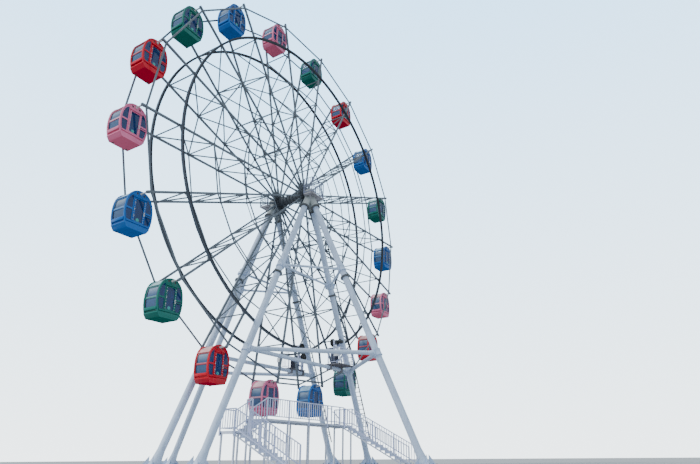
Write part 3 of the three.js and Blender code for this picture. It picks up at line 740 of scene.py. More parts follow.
for side, way in sides.items():
    out = Vector((0, way, 0))
    places = {"outer": tyre_centre(side, 1), "inner": tyre_centre(side, -1)}
    middle = (places["outer"].x + places["inner"].x) / 2
    x0, x1 = middle - 1.1, middle + 0.54
    low_y, high_y = sorted((way * drive_inner, way * drive_outer))
    base = drive_top - drive_thickness
    cross_xs = (x0, middle - 0.55, middle - 0.02, x1 - 0.05)
    parts = floor_beams(cross_xs, low_y, high_y, base, drive_top)
    slat = block(
        (x0 + 0.03, low_y + 0.03, drive_top - 0.03), (x0 + 0.036, high_y - 0.03, drive_top - 0.002),
    )
    parts.append(repeated(slat, (0.04, 0, 0), int((x1 - x0 - 0.06) / 0.04)))
    cross = block(
        (x0 + 0.03, low_y + 0.06, drive_top - 0.02), (x1 - 0.03, low_y + 0.066, drive_top - 0.006),
    )
    parts.append(repeated(cross, (0, 0.1, 0), 10))
    brace = leg_point(side, "right", hub_height - brace_levels["lower"])
    for x in (x0 + 0.2, x1 - 0.2):
        parts.append(block(
            (x - 0.07, brace.y - clamp_half, brace_levels["lower"] - clamp_half),
            (x + 0.07, brace.y + clamp_half, brace_levels["lower"] + clamp_half),
        ))
        for y in (brace.y - 0.15, brace.y + 0.15):
            parts.append(bar((x, y, 5.70), (x, y, drive_top), 0.014, 8))
    built(f"drive_platform_{side}_floor", parts, 0.0, floor_grey, "grey_steel", "root",
          f"drive_platform_{side}")

    post_inner, post_outer = way * drive_inner, way * (drive_inner + post_depth)
    top = places["inner"].z + 0.13
    parts = []
    for x in (middle - post_half, middle + post_half - 0.09):
        parts.append(block((x, post_inner, base), (x + 0.09, post_outer, top)))
    for z in (drive_top + 0.25, (places["outer"].z + places["inner"].z) / 2, top - 0.07):
        parts.append(block(
            (middle - post_half, post_inner, z - 0.045), (middle + post_half, post_outer, z + 0.045),
        ))
    for spot in places.values():
        parts.append(block(
            (spot.x - 0.15, post_inner, spot.z - 0.13), (spot.x + 0.15, post_outer, spot.z + 0.13),
        ))
    for x in (middle - 0.2, middle + 0.2):
        parts.append(square_bar(
            (x, post_outer, top - 0.1), (x, way * (drive_inner + 0.72), drive_top), 0.06,
        ))
    built(f"drive_post_{side}", parts, 0.006, guard_paint, "grey_steel", "root")

    fins = [(0.16, 0.10)]
    for i in range(11):
        start = 0.19 + i * 0.022
        fins += [(start, 0.105), (start, 0.122), (start + 0.008, 0.122), (start + 0.008, 0.105)]
    fins += [(0.44, 0.105), (0.44, 0.124), (0.52, 0.124), (0.53, 0.11)]
    motors = []
    for x, _, z in places.values():
        shaft = Vector((x, post_outer, z))
        motors.append(block(shaft - Vector((0.13, 0, 0.14)), shaft + Vector((0.13, way * 0.16, 0.14))))
        motors.append(turned(shaft, shaft + out, fins, sides=24))
        motors.append(block(
            shaft + Vector((-0.06, way * 0.24, 0.1)), shaft + Vector((0.06, way * 0.38, 0.19)),
        ))
    built(f"drive_motors_{side}", motors, 0.003, motor_paint, "dark_steel", "root")

    cabinet = block(
        (middle - 0.76, way * (drive_inner + 0.16), drive_top),
        (middle - 0.30, way * (drive_inner + 0.30), drive_top + 0.74),
    )
    socket = block(
        (x0 - 0.12, way * (drive_outer - 0.31), drive_top + 0.16),
        (x0 + 0.01, way * (drive_outer - 0.11), drive_top + 0.401),
    )
    built(f"drive_cabinet_{side}", [cabinet, socket], 0.008, cabinet_navy, "dark_steel", "root")
    switch_box = block(
        (x0 - 0.17, way * (drive_outer - 0.36), drive_top + 0.40),
        (x0 + 0.01, way * (drive_outer - 0.06), drive_top + 0.70),
    )
    built(f"drive_switch_box_{side}", [switch_box], 0.012, box_white, "grey_steel", "root")

    line = guard_line(x0, x1, way * (drive_inner + 0.2), way * (drive_outer - 0.03), drive_top)
    rails = guard(line, guard_height, 0.1, size=0.042, post=0.045, baluster=0.018, pitch=0.13)
    built(f"drive_platform_{side}_guard", rails, 0.0, guard_paint, "grey_steel", "root")

    shoulder = [(-0.065, 0.13), (-0.065, 0.225), (-0.060, 0.25), (-0.046, 0.265)]
    grooves = [(start + step, radius) for start in (-0.028, -0.004, 0.022)
               for step, radius in ((0, 0.27), (0.002, 0.259), (0.010, 0.259), (0.012, 0.27))]
    tyre_outline = (shoulder + [(-0.030, 0.27)] + grooves
                    + [(-distance, radius) for distance, radius in reversed(shoulder)])
    for place, spot in places.items():
        name = f"drive_tyre_{side}_{place}"
        tread = turned(spot, spot + out, tyre_outline, sides=64, ring=True)
        built(f"{name}_tread", [tread], 0.0, tyre_black, "tyre_rubber", name, name)
        disc = [turned(spot, spot + out, [
            (-0.058, 0.05), (-0.02, 0.06), (-0.02, 0.11), (-0.055, 0.132), (0.055, 0.132),
            (0.055, 0.12), (0.0, 0.105), (0.0, 0.06), (0.1, 0.055), (0.116, 0.055),
        ])]
        disc += bolts(spot - out * 0.02, -out, 0.085, 6, 0.012, 0.014)
        built(f"{name}_disc", disc, 0.0, wheel_silver, "bare_metal", name)

# The boarding deck: chequer plates on a frame of channels and joists, on square columns with
# foot plates, with the same build for the lower landing of the turning stair.
deck_left, deck_right, stair_end = -3.64, 3.64, 4.6
deck_front, deck_back = -2.0, -0.64
riser, going = 0.172, 0.325
deck_top, landing_top = riser * 14, riser * 10
slab = 0.15
landing_left, landing_right, landing_back = -5.85, -4.6156, -1.04
column_half = 0.04
post_pitch = 1.82
pip_pitch = 0.06
deck_paint = painted(
    "white_deck_steel", (0.76, 0.82, 0.97), (0.36, 0.38, 0.44), gloss=0.45, streaks=0.4,
)
tread_paint = painted(
    "grey_tread_plate", (0.42, 0.45, 0.47), (0.2, 0.19, 0.18), gloss=0.5, metallic=0.25, streaks=0.2,
    mottle=0.5, grain=14, bump=0.6,
)


def deck_slab(name, left, right, back, top, columns, node):
    """Edge channels, joists and columns under a floor."""
    parts = []
    under = top - slab
    for y, lip in ((deck_front, 1), (back, -1)):
        parts.append(block((left, y, top - 0.11), (right, y + lip * 0.012, top - 0.006)))
        for z in (top - 0.11, top - 0.016):
            parts.append(block((left, y, z), (right, y + lip * 0.06, z + 0.01)))
    for x, lip in ((left, 1), (right, -1)):
        parts.append(block((x, deck_front, under), (x + lip * 0.012, back, top - 0.006)))
    joists = max(2, round((right - left) / 0.6))
    joist = block((left + 0.3, deck_front + 0.01, under + 0.03), (left + 0.35, back - 0.01, top - 0.01))
    parts.append(repeated(joist, ((right - left - 0.6) / joists, 0, 0), joists + 1))
    for x in columns:
        for y in (deck_front + column_half, back - column_half):
            parts.append(block(
                (x - column_half, y - column_half, 0), (x + column_half, y + column_half, top - slab / 2),
            ))
            foot_y = max(deck_front - 0.03, y - 0.11)
            parts.append(block((x - 0.11, foot_y, 0.0), (x + 0.11, y + 0.11, 0.016)))
            for bolt_x in (x - 0.08, x + 0.08):
                parts.append(bar((bolt_x, y, 0.01), (bolt_x, y, 0.045), 0.014, 6))
    built(name, parts, 0.002, deck_paint, "white_steel", "root", node)


def deck_plates(name, left, right, back, top):
    """The chequer plates of a floor, with their raised pips."""
    count = max(1, round((right - left) / 1.2))
    width = (right - left) / count
    sheet = block((left + 0.003, deck_front + 0.003, top - 0.008), (left + width - 0.003, back - 0.003, top))
    parts = [repeated(sheet, (width, 0, 0), count)]
    x, y = left + pip_pitch, deck_front + pip_pitch
    pip = bar((x, y, top - 0.001), (x, y, top + 0.0015), 0.012, 4)
    row = repeated(pip, (pip_pitch, 0, 0), int((right - left - 0.08) / pip_pitch))
    parts.append(repeated(row, (0, pip_pitch, 0), int((back - deck_front - 0.08) / pip_pitch)))
    built(name, parts, 0.0, tread_paint, "white_steel", "root")


last_column = stair_end - column_half
deck_columns = [last_column] + [
    min(max(deck_left + post_pitch * i, deck_left + column_half), last_column) for i in range(5)
]
landing_columns = [landing_left + column_half, landing_right - column_half]
deck_size = (deck_left, stair_end, deck_back, deck_top)
landing_size = (landing_left, landing_right, landing_back, landing_top)
deck_slab("boarding_deck_frame", *deck_size, deck_columns, "boarding_deck")
deck_slab("stair_landing_frame", *landing_size, landing_columns, "stair_landing")
deck_plates("deck_plates", *deck_size)
deck_plates("landing_plates", *landing_size)

# The stairs: folded plate steps that stand on two slim stringers each. The straight
# flight and the lower flight come down towards the front, the upper one crosses to the deck.
stringer_top, stringer_depth = 0.165, 0.24
flight_width = 0.92
flight_gap = 0.0003
flight_start = deck_front - flight_gap
step_metal = 0.008


def flight(name, top, run, across, width, risers):
    """One flight from its top nosing at `top`, running down along `run`."""
    top, run, across = Vector(top), Vector(run), Vector(across)
    t = step_metal
    profile = [
        (-t, 0), (going + 0.02, 0), (going + 0.02, -0.03), (going + 0.012, -0.03), (going + 0.012, -t),
        (going, -t), (going, -riser), (going - t, -riser), (going - t, -t), (-t, -t),
    ]
    lowered = [(x, z - riser) for x, z in profile]
    step = tab(top, run, rise, lowered, across * (width - 0.04), across * 0.02)
    slope = riser / going
    lowest = -riser * risers
    heel, knee = (-lowest - stringer_top) / slope, (-lowest - stringer_depth) / slope
    outline = [(0, -stringer_top), (heel, lowest), (knee, lowest), (0, -stringer_depth)]
    parts = [repeated(step, run * going - rise * riser, risers - 1)]
    for start, inward in ((0.0, 1), (width, -1)):
        parts.append(tab(top, run, rise, outline, across * inward * 0.05, across * start))
    built(f"{name}_flight", parts, 0.0, deck_paint, "white_steel", "root", name)


forward, leftward = (0, -1, 0), (-1, 0, 0)
flight("stair_right", (deck_right, flight_start, deck_top), forward, (1, 0, 0), stair_end - deck_right, 14)
flight("stair_left_lower", (landing_left, flight_start, landing_top), forward, (1, 0, 0), flight_width, 10)
flight("stair_left_upper", (deck_left - flight_gap, landing_back, deck_top), leftward, (0, -1, 0),
       landing_back - deck_front, 4)

# The railings: white square posts, round handrails with a second rail below, and close
# upright balusters, welded up in one run along each edge.
rail_height, rail_low, rail_size, rail_post = 1.04, 0.14, 0.058, 0.066
side_offset = 0.0303
front_line = deck_front - side_offset
inner_left = landing_left + flight_width + side_offset
outer_left = landing_left - side_offset
back_line = landing_back + side_offset
right_foot = deck_front - going * 14
left_foot = deck_front - going * 10
right_inner = deck_right - side_offset
right_outer = stair_end + side_offset
upper_x = deck_left - side_offset
gate, gate_post = 1.82, 2.25
apart = 0.08
drop = riser / going * apart
railing_lines = {
    "railing_deck_front": [
        (inner_left, front_line, landing_top), (deck_left, front_line, deck_top),
        (gate, front_line, deck_top),
    ],
    "railing_left_stair_inner": [
        (inner_left, front_line - apart, landing_top - drop), (inner_left, left_foot, 0),
    ],
    "railing_left_stair_outer": [
        (outer_left, left_foot, 0), (outer_left, deck_front, landing_top),
        (outer_left, back_line, landing_top), (inner_left, back_line, landing_top),
        (upper_x, back_line, deck_top), (upper_x, deck_back, deck_top),
    ],
    "railing_right_stair_inner": [
        (right_inner, front_line - apart, deck_top - drop), (right_inner, right_foot, 0),
    ],
    "railing_right_stair_outer": [
        (right_outer, deck_back, deck_top), (right_outer, deck_front, deck_top),
        (right_outer, right_foot, 0),
    ],
}
for name, line in railing_lines.items():
    at_front = name == "railing_deck_front"
    parts = guard(
        line, rail_height, rail_low, rail_size, rail_post, baluster=0.042,
        pitch=0.2 if at_front else 0.17, post_pitch=post_pitch, sunk=0.22,
    )
    if at_front:
        parts.append(bar(
            (gate, front_line, deck_top + rail_height), (right_inner, front_line, deck_top + rail_height),
            rail_size / 2, 10,
        ))
        for start_x, start_z, end_x, end_z, size in (
            (gate, rail_low, right_inner, rail_low, 0.046),
            (gate, 0.88, gate_post, 0.88, 0.04),
            (gate_post, -0.1, gate_post, rail_height, 0.055),
            (3.15, -0.1, 3.15, rail_height, 0.055),
            (right_inner, -0.1, right_inner, rail_height, 0.055),
            (2.5, 0.7, 3.15, 0.3, 0.045),
            (gate_post, 0.7, 2.5, 0.7, 0.045),
        ):
            parts.append(square_bar(
                (start_x, front_line, deck_top + start_z), (end_x, front_line, deck_top + end_z), size,
            ))
    built(f"{name}_bars", parts, 0.0, guard_paint, "white_steel", "root", name)

# The hub: the axle and its ribbed drum between two star-shaped flanges, whose tabs the spoke
# roots are bolted to, all of dark painted steel.
root_y = 1.109
flange_radius, flange_thickness = 0.65, 0.1
drum_radius, shaft_radius = 0.29, 0.13
rib_pitch = 0.27
shaft_end = bearing_y - housing_half - 0.0005
phase = math.radians(2.5)
spoke_step = math.radians(20)
hub_centre = Vector((0, 0, hub_height))
axle = Vector((0, 1, 0))
dark_paint = painted(
    "dark_hub_paint", (0.06, 0.072, 0.088), (0.13, 0.14, 0.15), metallic=0.2, mottle=0.4,
)


def ray_at(angle):
    """The way out from the hub at that angle, and the way round the wheel there."""
    ray = Vector((math.cos(angle), 0, math.sin(angle)))
    return ray, Vector((-ray.z, 0, ray.x))


outer, inner = root_y + flange_thickness / 2, root_y - flange_thickness / 2
half_profile = [
    (-shaft_end, shaft_radius - 0.01), (-shaft_end + 0.01, shaft_radius), (-outer - 0.03, shaft_radius),
    (-outer - 0.03, 0.24), (-outer, 0.26), (-outer, 0.46), (-inner, 0.46),
    (-inner, drum_radius + 0.07), (-inner + 0.07, drum_radius),
]
ribs = [(y + step, drum_radius + proud) for y in (k * rib_pitch for k in range(-3, 4))
        for step, proud in ((-0.035, 0), (-0.035, 0.035), (0.035, 0.035), (0.035, 0))]
profile = half_profile + ribs + [(-y, radius) for y, radius in reversed(half_profile)]
parts = [turned(hub_centre, hub_centre + axle, profile, sides=72)]
for k in range(-3, 4):
    for i in range(18):
        ray, _ = ray_at(spoke_step * i)
        foot = hub_centre + axle * k * rib_pitch + ray * (drum_radius + 0.03)
        parts.append(bar(foot, foot + ray * 0.035, 0.022, 6))
tab_outline = [(0, 0.44), (0, flange_radius - 0.01), (0.1, flange_radius - 0.01), (0.1, 0.44)]
rib_outline = [(0, drum_radius - 0.01), (0, 0.44), (-0.04, 0.44), (-0.22, drum_radius - 0.01)]
for hand in (-1, 1):
    parts += bolts(hub_centre + axle * hand * outer, axle * hand, 0.36, 18, 0.022, 0.03)
    foot = hub_centre + axle * hand * inner
    for k in range(18):
        for share, half, outline in ((0, 0.032, tab_outline), (0.5, 0.012, rib_outline)):
            ray, along = ray_at(phase + spoke_step * (k + share))
            across = along * half
            parts.append(tab(foot, axle * hand, ray, outline, across * 2, -across))
built("hub_axle", parts, 0.003, dark_paint, "dark_steel", "wheel", "hub")

# The rims: two dark rings of box section for the drive tyres to run on, spliced with bolted
# plates, each with its outer running face painted paler as a painted highlight.
band_low, band_high, band_half = rim_radius - 0.06, rim_radius + 0.06, 0.08
rim_dark = painted(
    "dark_rim_paint", (0.012, 0.018, 0.030), (0.05, 0.06, 0.075), gloss=0.55, streaks=0.25,
)
rim_painted_highlight = painted(
    "running_face_painted_highlight", (0.10, 0.125, 0.16), (0.05, 0.06, 0.07), gloss=0.45, metallic=0.3, streaks=0.2,
    mottle=0.4,
)
for side, way in sides.items():
    name = f"rim_{side}"
    centre = hub_centre + axle * way * rim_y
    parts = [turned(centre, centre + axle, mirrored([
        (-band_half, band_low + 0.005), (-band_half, band_high - 0.012), (-band_half + 0.012, band_high),
    ]) + [(band_half - 0.005, band_low), (-band_half + 0.005, band_low)], sides=216, ring=True)]
    for k in range(18):
        ray, along = ray_at(phase + spoke_step * (k + 0.5))
        spot = centre + ray * rim_radius - axle * way * (band_half + 0.008)
        parts.append(tab(spot, ray, along, rectangle(-0.05, -0.22, 0.05, 0.22), axle * way * 0.016))
        for b in (-0.17, -0.07, 0.07, 0.17):
            for a in (-0.028, 0.028):
                head = spot + ray * a + along * b
                parts.append(bar(head + axle * way * 0.012, head - axle * way * 0.014, 0.014, 6))
    piece = built(f"{name}_ring", parts, 0.0, rim_dark, "dark_steel", "wheel", name)
    # Faces that look outward from the hub take the paler paint: a painted highlight along the running face.
    piece.data.materials.append(rim_painted_highlight)
    for face in piece.data.polygons:
        ray = Vector((face.center.x, 0, face.center.z - hub_height))
        if ray.length > band_high - 0.008 and face.normal.dot(ray.normalized()) > 0.7:
            face.material_index = 1

# The spoke frames: pairs of tapering square tubes from hub to cabin, held apart by cross
# tubes and crossed rods, and tied to their neighbours in rings; three frames make a sector.
pivot_radius, tip_y = 12.6, 0.946
outer_tie_radius = 12.411
stations = [3.402, 5.733, 8.064, rim_radius]
rim_face = rim_y - rim_width / 2 - 0.002
# The lattice's white paint is given as a dark grey: a painted shade for the spokes seen backlit against the
# sky.
spoke_shaded_paint = painted("white_lattice_painted_shade", (0.15, 0.18, 0.215), (0.08, 0.09, 0.10), mottle=0.35)


def spoke_point(angle, radius, way):
    """The point on a spoke's middle line at that radius, near (-1) or far (+1)."""
    half = root_y + (tip_y - root_y) * radius / pivot_radius
    return hub_centre + ray_at(angle)[0] * radius + axle * way * half


def spoke_frame(angle):
    """One pair of spokes with everything between them."""
    ray, along = ray_at(angle)
    parts = []
    for way in (-1, 1):
        start = spoke_point(angle, flange_radius - 0.1, way)
        end = spoke_point(angle, pivot_radius + 0.09, way)
        parts.append(square_bar(start, end, 0.088, along, 0.108))
        for hand in (-1, 1):
            root = start - along * 0.045 * hand
            outward = -along * hand
            parts.append(tab(
                root, ray, axle, rectangle(-0.12, -0.06, 0.5, 0.06), outward * 0.012, Vector(), 0.03, 2,
            ))
            for a in (0.16, 0.28, 0.4):
                head = root + ray * a
                parts.append(bar(head, head + outward * 0.03, 0.018, 6))
    for radius in stations:
        ends = [spoke_point(angle, radius, way) for way in (-1, 1)]
        if radius == rim_radius:
            ends = [Vector((p.x, math.copysign(rim_face, p.y), p.z)) for p in ends]
        parts.append(bar(*ends, 0.04, 8))
        for way in (-1, 1):
            spot = spoke_point(angle, radius, way)
            gusset = [(-0.11, -0.03), (-0.04, -0.12), (0.04, -0.12), (0.11, -0.03)]
            parts.append(tab(spot, ray, axle * way, gusset, along * 0.012, along * -0.006))
            parts.append(tab(
                spot, ray, along, rectangle(-0.075, -0.07, 0.075, 0.07), axle * way * 0.01,
                axle * way * 0.045, 0.02, 2,
            ))
    for low, high in zip(stations, stations[1:]):
        for way in (-1, 1):
            parts.append(bar(spoke_point(angle, low, way), spoke_point(angle, high, -way), 0.040, 8))
    for way in (-1, 1):
        pivot = spoke_point(angle, pivot_radius, way)
        boss = mirrored([(-0.061, 0.04), (-0.061, 0.06), (-0.05, 0.072)])
        parts.append(turned(pivot, pivot + axle, boss, sides=20))
        jaw = [(-0.2, -0.05), (-0.09, -0.07), (0.085, -0.065), (0.085, 0.065), (-0.09, 0.07), (-0.2, 0.05)]
        parts.append(tab(pivot, ray, along, jaw, axle * 0.1, axle * -0.05, 0.02, 2))
        for a, b in ((-0.07, -0.045), (-0.07, 0.045), (-0.14, -0.03), (-0.14, 0.03)):
            head = pivot + ray * a + along * b
            parts.append(bar(head - axle * 0.065, head + axle * 0.065, 0.014, 6))
    return parts


def ties(angle):
    """The ties from one spoke frame to the next, near and far."""
    parts = []
    for way in (-1, 1):
        for radius, thickness, flats in (
            (stations[0], 0.029, 8), (stations[1], 0.041, 8), (stations[2], 0.041, 8),
            (outer_tie_radius, 0.052, 10),
        ):
            ends = (spoke_point(a, radius, way) for a in (angle, angle + spoke_step))
            parts.append(bar(*ends, thickness, flats))
    return parts


def copied(model, name, place):
    """A copy of the piece under a new name, moved by the matrix `place`."""
    select_only([model])
    bpy.ops.object.duplicate()
    copy = bpy.context.object
    copy.name = copy.data.name = name
    copy.matrix_world = place
    settle()
    return copy


parts = []
for k in range(3):
    angle = phase + spoke_step * k
    parts += spoke_frame(angle) + ties(angle)
sectors = [softened(joined(parts, "spoke_sector_1_lattice"), 0.0)]
to_hub, from_hub = Matrix.Translation(hub_centre), Matrix.Translation(-hub_centre)
for index in range(1, 6):
    turn = to_hub @ Matrix.Rotation(-spoke_step * 3 * index, 4, "Y") @ from_hub
    sectors.append(copied(sectors[0], f"spoke_sector_{index + 1}_lattice", turn))
for index, sector in enumerate(sectors):
    fitted(sector, spoke_shaded_paint, "grey_steel", "wheel", f"spoke_sector_{index + 1}")

# The gondola cabins: moulded shells in four colours, egg-shaped across the axle, with proud end
# frames, a door on the boarding side, tinted panes with a painted sky reflection where they turn up
# and sideways, a wrap over the roof painted pale where it faces up as a painted sky sheen, painted
# shade on the shells' undersides, and benches inside.
cabin_colours = ("green blue pink green red blue green blue pink "
                 "red green blue pink red green blue pink red").split()
cabin_half, frame_depth = 0.5, 0.085
egg_middle = -0.87
egg = [(0.50, -1.87), (0.545, -1.82), (0.645, -1.63), (0.70, -1.43), (0.735, -1.20), (0.745, -0.97),
       (0.732, -0.74), (0.695, -0.50), (0.63, -0.29), (0.535, -0.12), (0.415, 0.0), (0.265, 0.085),
       (0.09, 0.128)]
upper_light = [(0.352, -0.84), (0.655, -0.84), (0.648, -0.72), (0.612, -0.52), (0.556, -0.36),
               (0.478, -0.245), (0.40, -0.19), (0.352, -0.175)]
lower_light = [(0.352, -0.93), (0.662, -0.93), (0.660, -1.05), (0.645, -1.22), (0.618, -1.36),
               (0.575, -1.47), (0.352, -1.47)]
rear_upper = [(0.035, -0.84)] + upper_light[1:-1] + [(0.035, -0.175)]
rear_lower = [(0.035, -0.93)] + lower_light[1:-1] + [(0.035, -1.47)]
lights = [(light, place, hand) for hand in (-1, 1) for light, place in (
    (upper_light, -1), (lower_light, -1), (rear_upper, 1), (rear_lower, 1))]
side_lights = [(low, high, half, hand) for hand in (-1, 1) for low, high, half in (
    (-0.86, -0.385, 0.36), (-1.375, -0.955, 0.38))]
glass_half, glass_low, glass_high = 0.225, -1.44, -0.335


def pressed(points, y, depth, hand=1, rounding=0.0, segments=3):
    """A plate of an x-z outline, mirrored where hand is -1, from y on by `depth`."""
    return plate([(x * hand, y, z) for x, z in points], (0, depth, 0), rounding, segments)


def pair(points, y, depth, rounding=0.0, segments=3):
    """A pressed plate on the right and its mirror image on the left."""
    return [pressed(points, y, depth, hand, rounding, segments) for hand in (-1, 1)]


def scaled(points, share):
    """The outline drawn smaller or larger about the middle of the egg."""
    return [(x * share, egg_middle + (z - egg_middle) * share) for x, z in points]


def egg_part(low, high):
    """The part of the half egg between two heights."""
    part = []
    for (xa, za), (xb, zb) in zip(egg, egg[1:]):
        for height in (low, high):
            if za < height <= zb:
                part.append((xa + (xb - xa) * (height - za) / (zb - za), height))
        if low < zb < high:
            part.append((xb, zb))
    return sorted(part, key=lambda point: point[1])


def egg_skin(low, high, outer, inner):
    """A thin strip along the side of the egg between two heights."""
    part = egg_part(low, high)
    return scaled(part, outer) + scaled(part, inner)[::-1]


def cut(piece, cutters):
    """The piece with the cutters' shapes taken out of it."""
    cutter = joined(cutters, "cutter")
    applied(piece, "BOOLEAN", operation="DIFFERENCE", solver="EXACT", object=cutter)
    bpy.data.objects.remove(cutter)
    return piece


def pick_faces(piece, test):
    """Opens the piece for editing with only the faces that pass the test selected."""
    select_only([piece])
    bpy.ops.object.mode_set(mode="EDIT")
    bpy.ops.mesh.select_mode(type="FACE")
    bpy.ops.mesh.select_all(action="DESELECT")
    bpy.ops.object.mode_set(mode="OBJECT")
    for face in piece.data.polygons:
        face.select = test(face)
    bpy.ops.object.mode_set(mode="EDIT")


def pane_holes():
    """Cutters for the door glass, the lights beside it and those at the back."""
    door_hole = rectangle(-glass_half, glass_low, glass_half, glass_high)
    return [pressed(door_hole, -0.6, 0.3, 1, 0.045)] + [
        pressed(light, place * 0.6, place * -0.3, hand, 0.025) for light, place, hand in lights
    ]


def side_holes():
    """Cutters for the two windows in each side."""
    holes = []
    for low, high, half, hand in side_lights:
        corners = [(hand * 0.45, y, z) for y, z in rectangle(-half, low, half, high)]
        holes.append(plate(corners, (hand * 0.5, 0, 0), 0.05))
    return holes


def cavity():
    """The hollow inside the shell."""
    return [pressed(mirrored(scaled(egg, 0.885)), -cabin_half + 0.055, 2 * cabin_half - 0.11)]


shell = pressed(mirrored(egg), -cabin_half, frame_depth)
pick_faces(shell, lambda face: face.normal.y > 0.9)
for share, depth in ((0.94, 2 * (cabin_half - frame_depth)), (1 / 0.94, frame_depth)):
    push((0, 0, 0))
    bpy.ops.transform.resize(value=(share, 1, share), center_override=(0, 0, egg_middle))
    push((0, depth, 0))
bpy.ops.object.mode_set(mode="OBJECT")
for hand in (-1, 1):
    pick_faces(shell, lambda face: face.normal.y * hand > 0.9 and face.center.y * hand > 0.49)
    bpy.ops.mesh.inset(thickness=0.05)
    push((0, -0.022 * hand, 0))
    bpy.ops.object.mode_set(mode="OBJECT")
cut(shell, cavity())
cut(shell, pane_holes())
cut(shell, side_holes())
cut(shell, [bar((x, -0.6, -0.045), (x, -0.46, -0.045), 0.055, 20) for x in (-0.19, 0.19)])

pan = pressed(mirrored([
    (0.50, -1.868), (0.55, -1.82), (0.628, -1.695), (0.655, -1.665), (0.655, -1.615), (0.60, -1.60),
]), -0.497, 0.994)
sill = [(0.60, -1.385), (0.716, -1.385), (0.724, -1.40), (0.712, -1.515), (0.70, -1.53), (0.60, -1.53)]
door_head = [(-0.34, -0.275), (0.34, -0.275), (0.32, -0.215), (-0.32, -0.215)]
door_ledge = [(-0.60, -1.56), (0.60, -1.56), (0.625, -1.505), (-0.625, -1.505)]
extras = [
    cut(pan, cavity()), *pair(sill, -0.43, 0.86), pressed(door_head, -0.545, 0.08),
    square_bar((0.355, -0.505, -1.02), (0.655, -0.505, -1.02), 0.03), pressed(door_ledge, -0.525, 0.06),
]
beads = []
for light, place, hand in lights:
    middle = sum((Vector(p) for p in light), Vector((0, 0))) / len(light)
    spans = [Vector(p) - middle for p in light]
    wider = [tuple(middle + span * (1 + 0.022 / span.length)) for span in spans]
    beads.append(pressed(wider, -0.492 if place < 0 else 0.474, 0.018, hand, 0.03))
beads.append(pressed(rectangle(-0.285, -1.495, 0.285, -0.29), -0.506, 0.03, 1, 0.05))
door_panel = pressed(rectangle(-0.25, -1.79, 0.25, -1.585), -0.496, 0.02, 1, 0.03)
cut(door_panel, [pressed(rectangle(-0.215, -1.76, 0.215, -1.615), -0.6, 0.3, 1, 0.02)])
extras += [cut(joined(beads, "bead_frames"), pane_holes()), door_panel]
shell = softened(joined([shell] + extras, "cabin_shell"), 0.006, 2, 40)

wrap_line = egg_part(-1.39, 0.13)
wrap_skin = mirrored(scaled(wrap_line, 0.962)) + mirrored(scaled(wrap_line, 0.938))[::-1]
gutter = [(0.575, -0.30), (0.602, -0.335), (0.650, -0.325), (0.635, -0.285)]
roof_parts = [cut(pressed(wrap_skin, -0.414, 0.828), side_holes()), *pair(gutter, -0.414, 0.828)]
roof = softened(joined(roof_parts, "cabin_roof"), 0.004, 2, 40)

door_glass = rectangle(-glass_half - 0.01, glass_low - 0.01, glass_half + 0.01, glass_high + 0.01)
panes = [pressed(door_glass, -0.482, 0.008)]
for light, place, hand in lights:
    panes.append(pressed(light, place * 0.47, place * -0.006, hand))
for low, high, half, hand in side_lights:
    strip = egg_skin(low - 0.03, high + 0.03, 0.930, 0.922)
    panes.append(pressed(strip, -half - 0.01, 2 * half + 0.02, hand))
glass = softened(joined(panes, "cabin_glass"), 0.0)


def knob(x, y, z, outline, sides):
    """A small turned part that stands out of the door side."""
    return turned((x, y, z), (x, y - 0.1, z), outline, sides)


hinge = [(0, 0.026), (0.035, 0.026), (0.045, 0.018)]
latch = [(0, 0.026), (0.02, 0.026), (0.03, 0.036), (0.05, 0.036), (0.06, 0.026)]
stud = [(0, 0.017), (0.014, 0.017), (0.02, 0.01)]
fittings = [knob(-0.255, -0.49, z, hinge, 12) for z in (-0.55, -0.86, -1.20)]
fittings += [knob(0.256, -0.5, z, latch, 14) for z in (-0.92, -1.05)]
fittings.append(bar((0.20, -0.545, -0.985), (0.31, -0.545, -0.985), 0.012, 8))
fittings += [repeated(knob(x, -0.5, -0.40, stud, 8), (0, 0, -0.125), 9) for x in (-0.268, 0.268)]
for hand in (-1, 1):
    fittings.append(turned(
        (0, hand * 0.46, 0), (0, hand * 0.9, 0),
        [(0, 0.062), (0.045, 0.062), (0.055, 0.055), (0.07, 0.04), (0.423, 0.038)], 20,
    ))
    fittings += bolts((0, hand * 0.505, 0), (0, hand, 0), 0.05, 6, 0.007, 0.01)
trim = softened(joined(fittings, "cabin_fittings"), 0.0)

dark = [block((x - 0.03, 0.36, -1.905), (x + 0.03, 0.42, -1.85)) for x in (-0.36, 0.36)]
# Dark discs just behind the two holes in the door header: painted shade inside the holes.
dark += [bar((x, -0.474, -0.045), (x, -0.44, -0.045), 0.058, 20) for x in (-0.19, 0.19)]
dark.append(block((-0.5, -0.44, -1.80), (0.5, 0.44, -1.775)))
for low, high, half, hand in side_lights:
    for y in (-half, half):
        dark.append(pressed(egg_skin(low, high, 0.966, 0.936), y - 0.008, 0.016, hand))
dark_parts = softened(joined(dark, "cabin_dark"), 0.0)

bench = [(0.55, -1.38), (0.27, -1.40), (0.25, -1.45), (0.27, -1.48), (0.33, -1.77), (0.37, -1.77),
         (0.53, -1.49)]
bench_back = [(0.628, -0.98), (0.595, -0.97), (0.54, -1.38), (0.58, -1.42)]
seats = pair(bench, -0.40, 0.8, 0.015, 2) + pair(bench_back, -0.40, 0.8, 0.012, 2)
seats.append(turned((0, 0, -1.775), (0, 0, 0), [
    (0, 0.12), (0.015, 0.12), (0.03, 0.035), (0.52, 0.03), (0.53, 0.19), (0.55, 0.2), (0.57, 0.19),
], 24))
seats.append(knob(-0.02, -0.478, -1.35, [
    (0, 0.088), (0.006, 0.088), (0.012, 0.078), (0.012, 0.03), (0.016, 0.028),
], 28))
benches = softened(joined(seats, "cabin_benches"), 0.004)
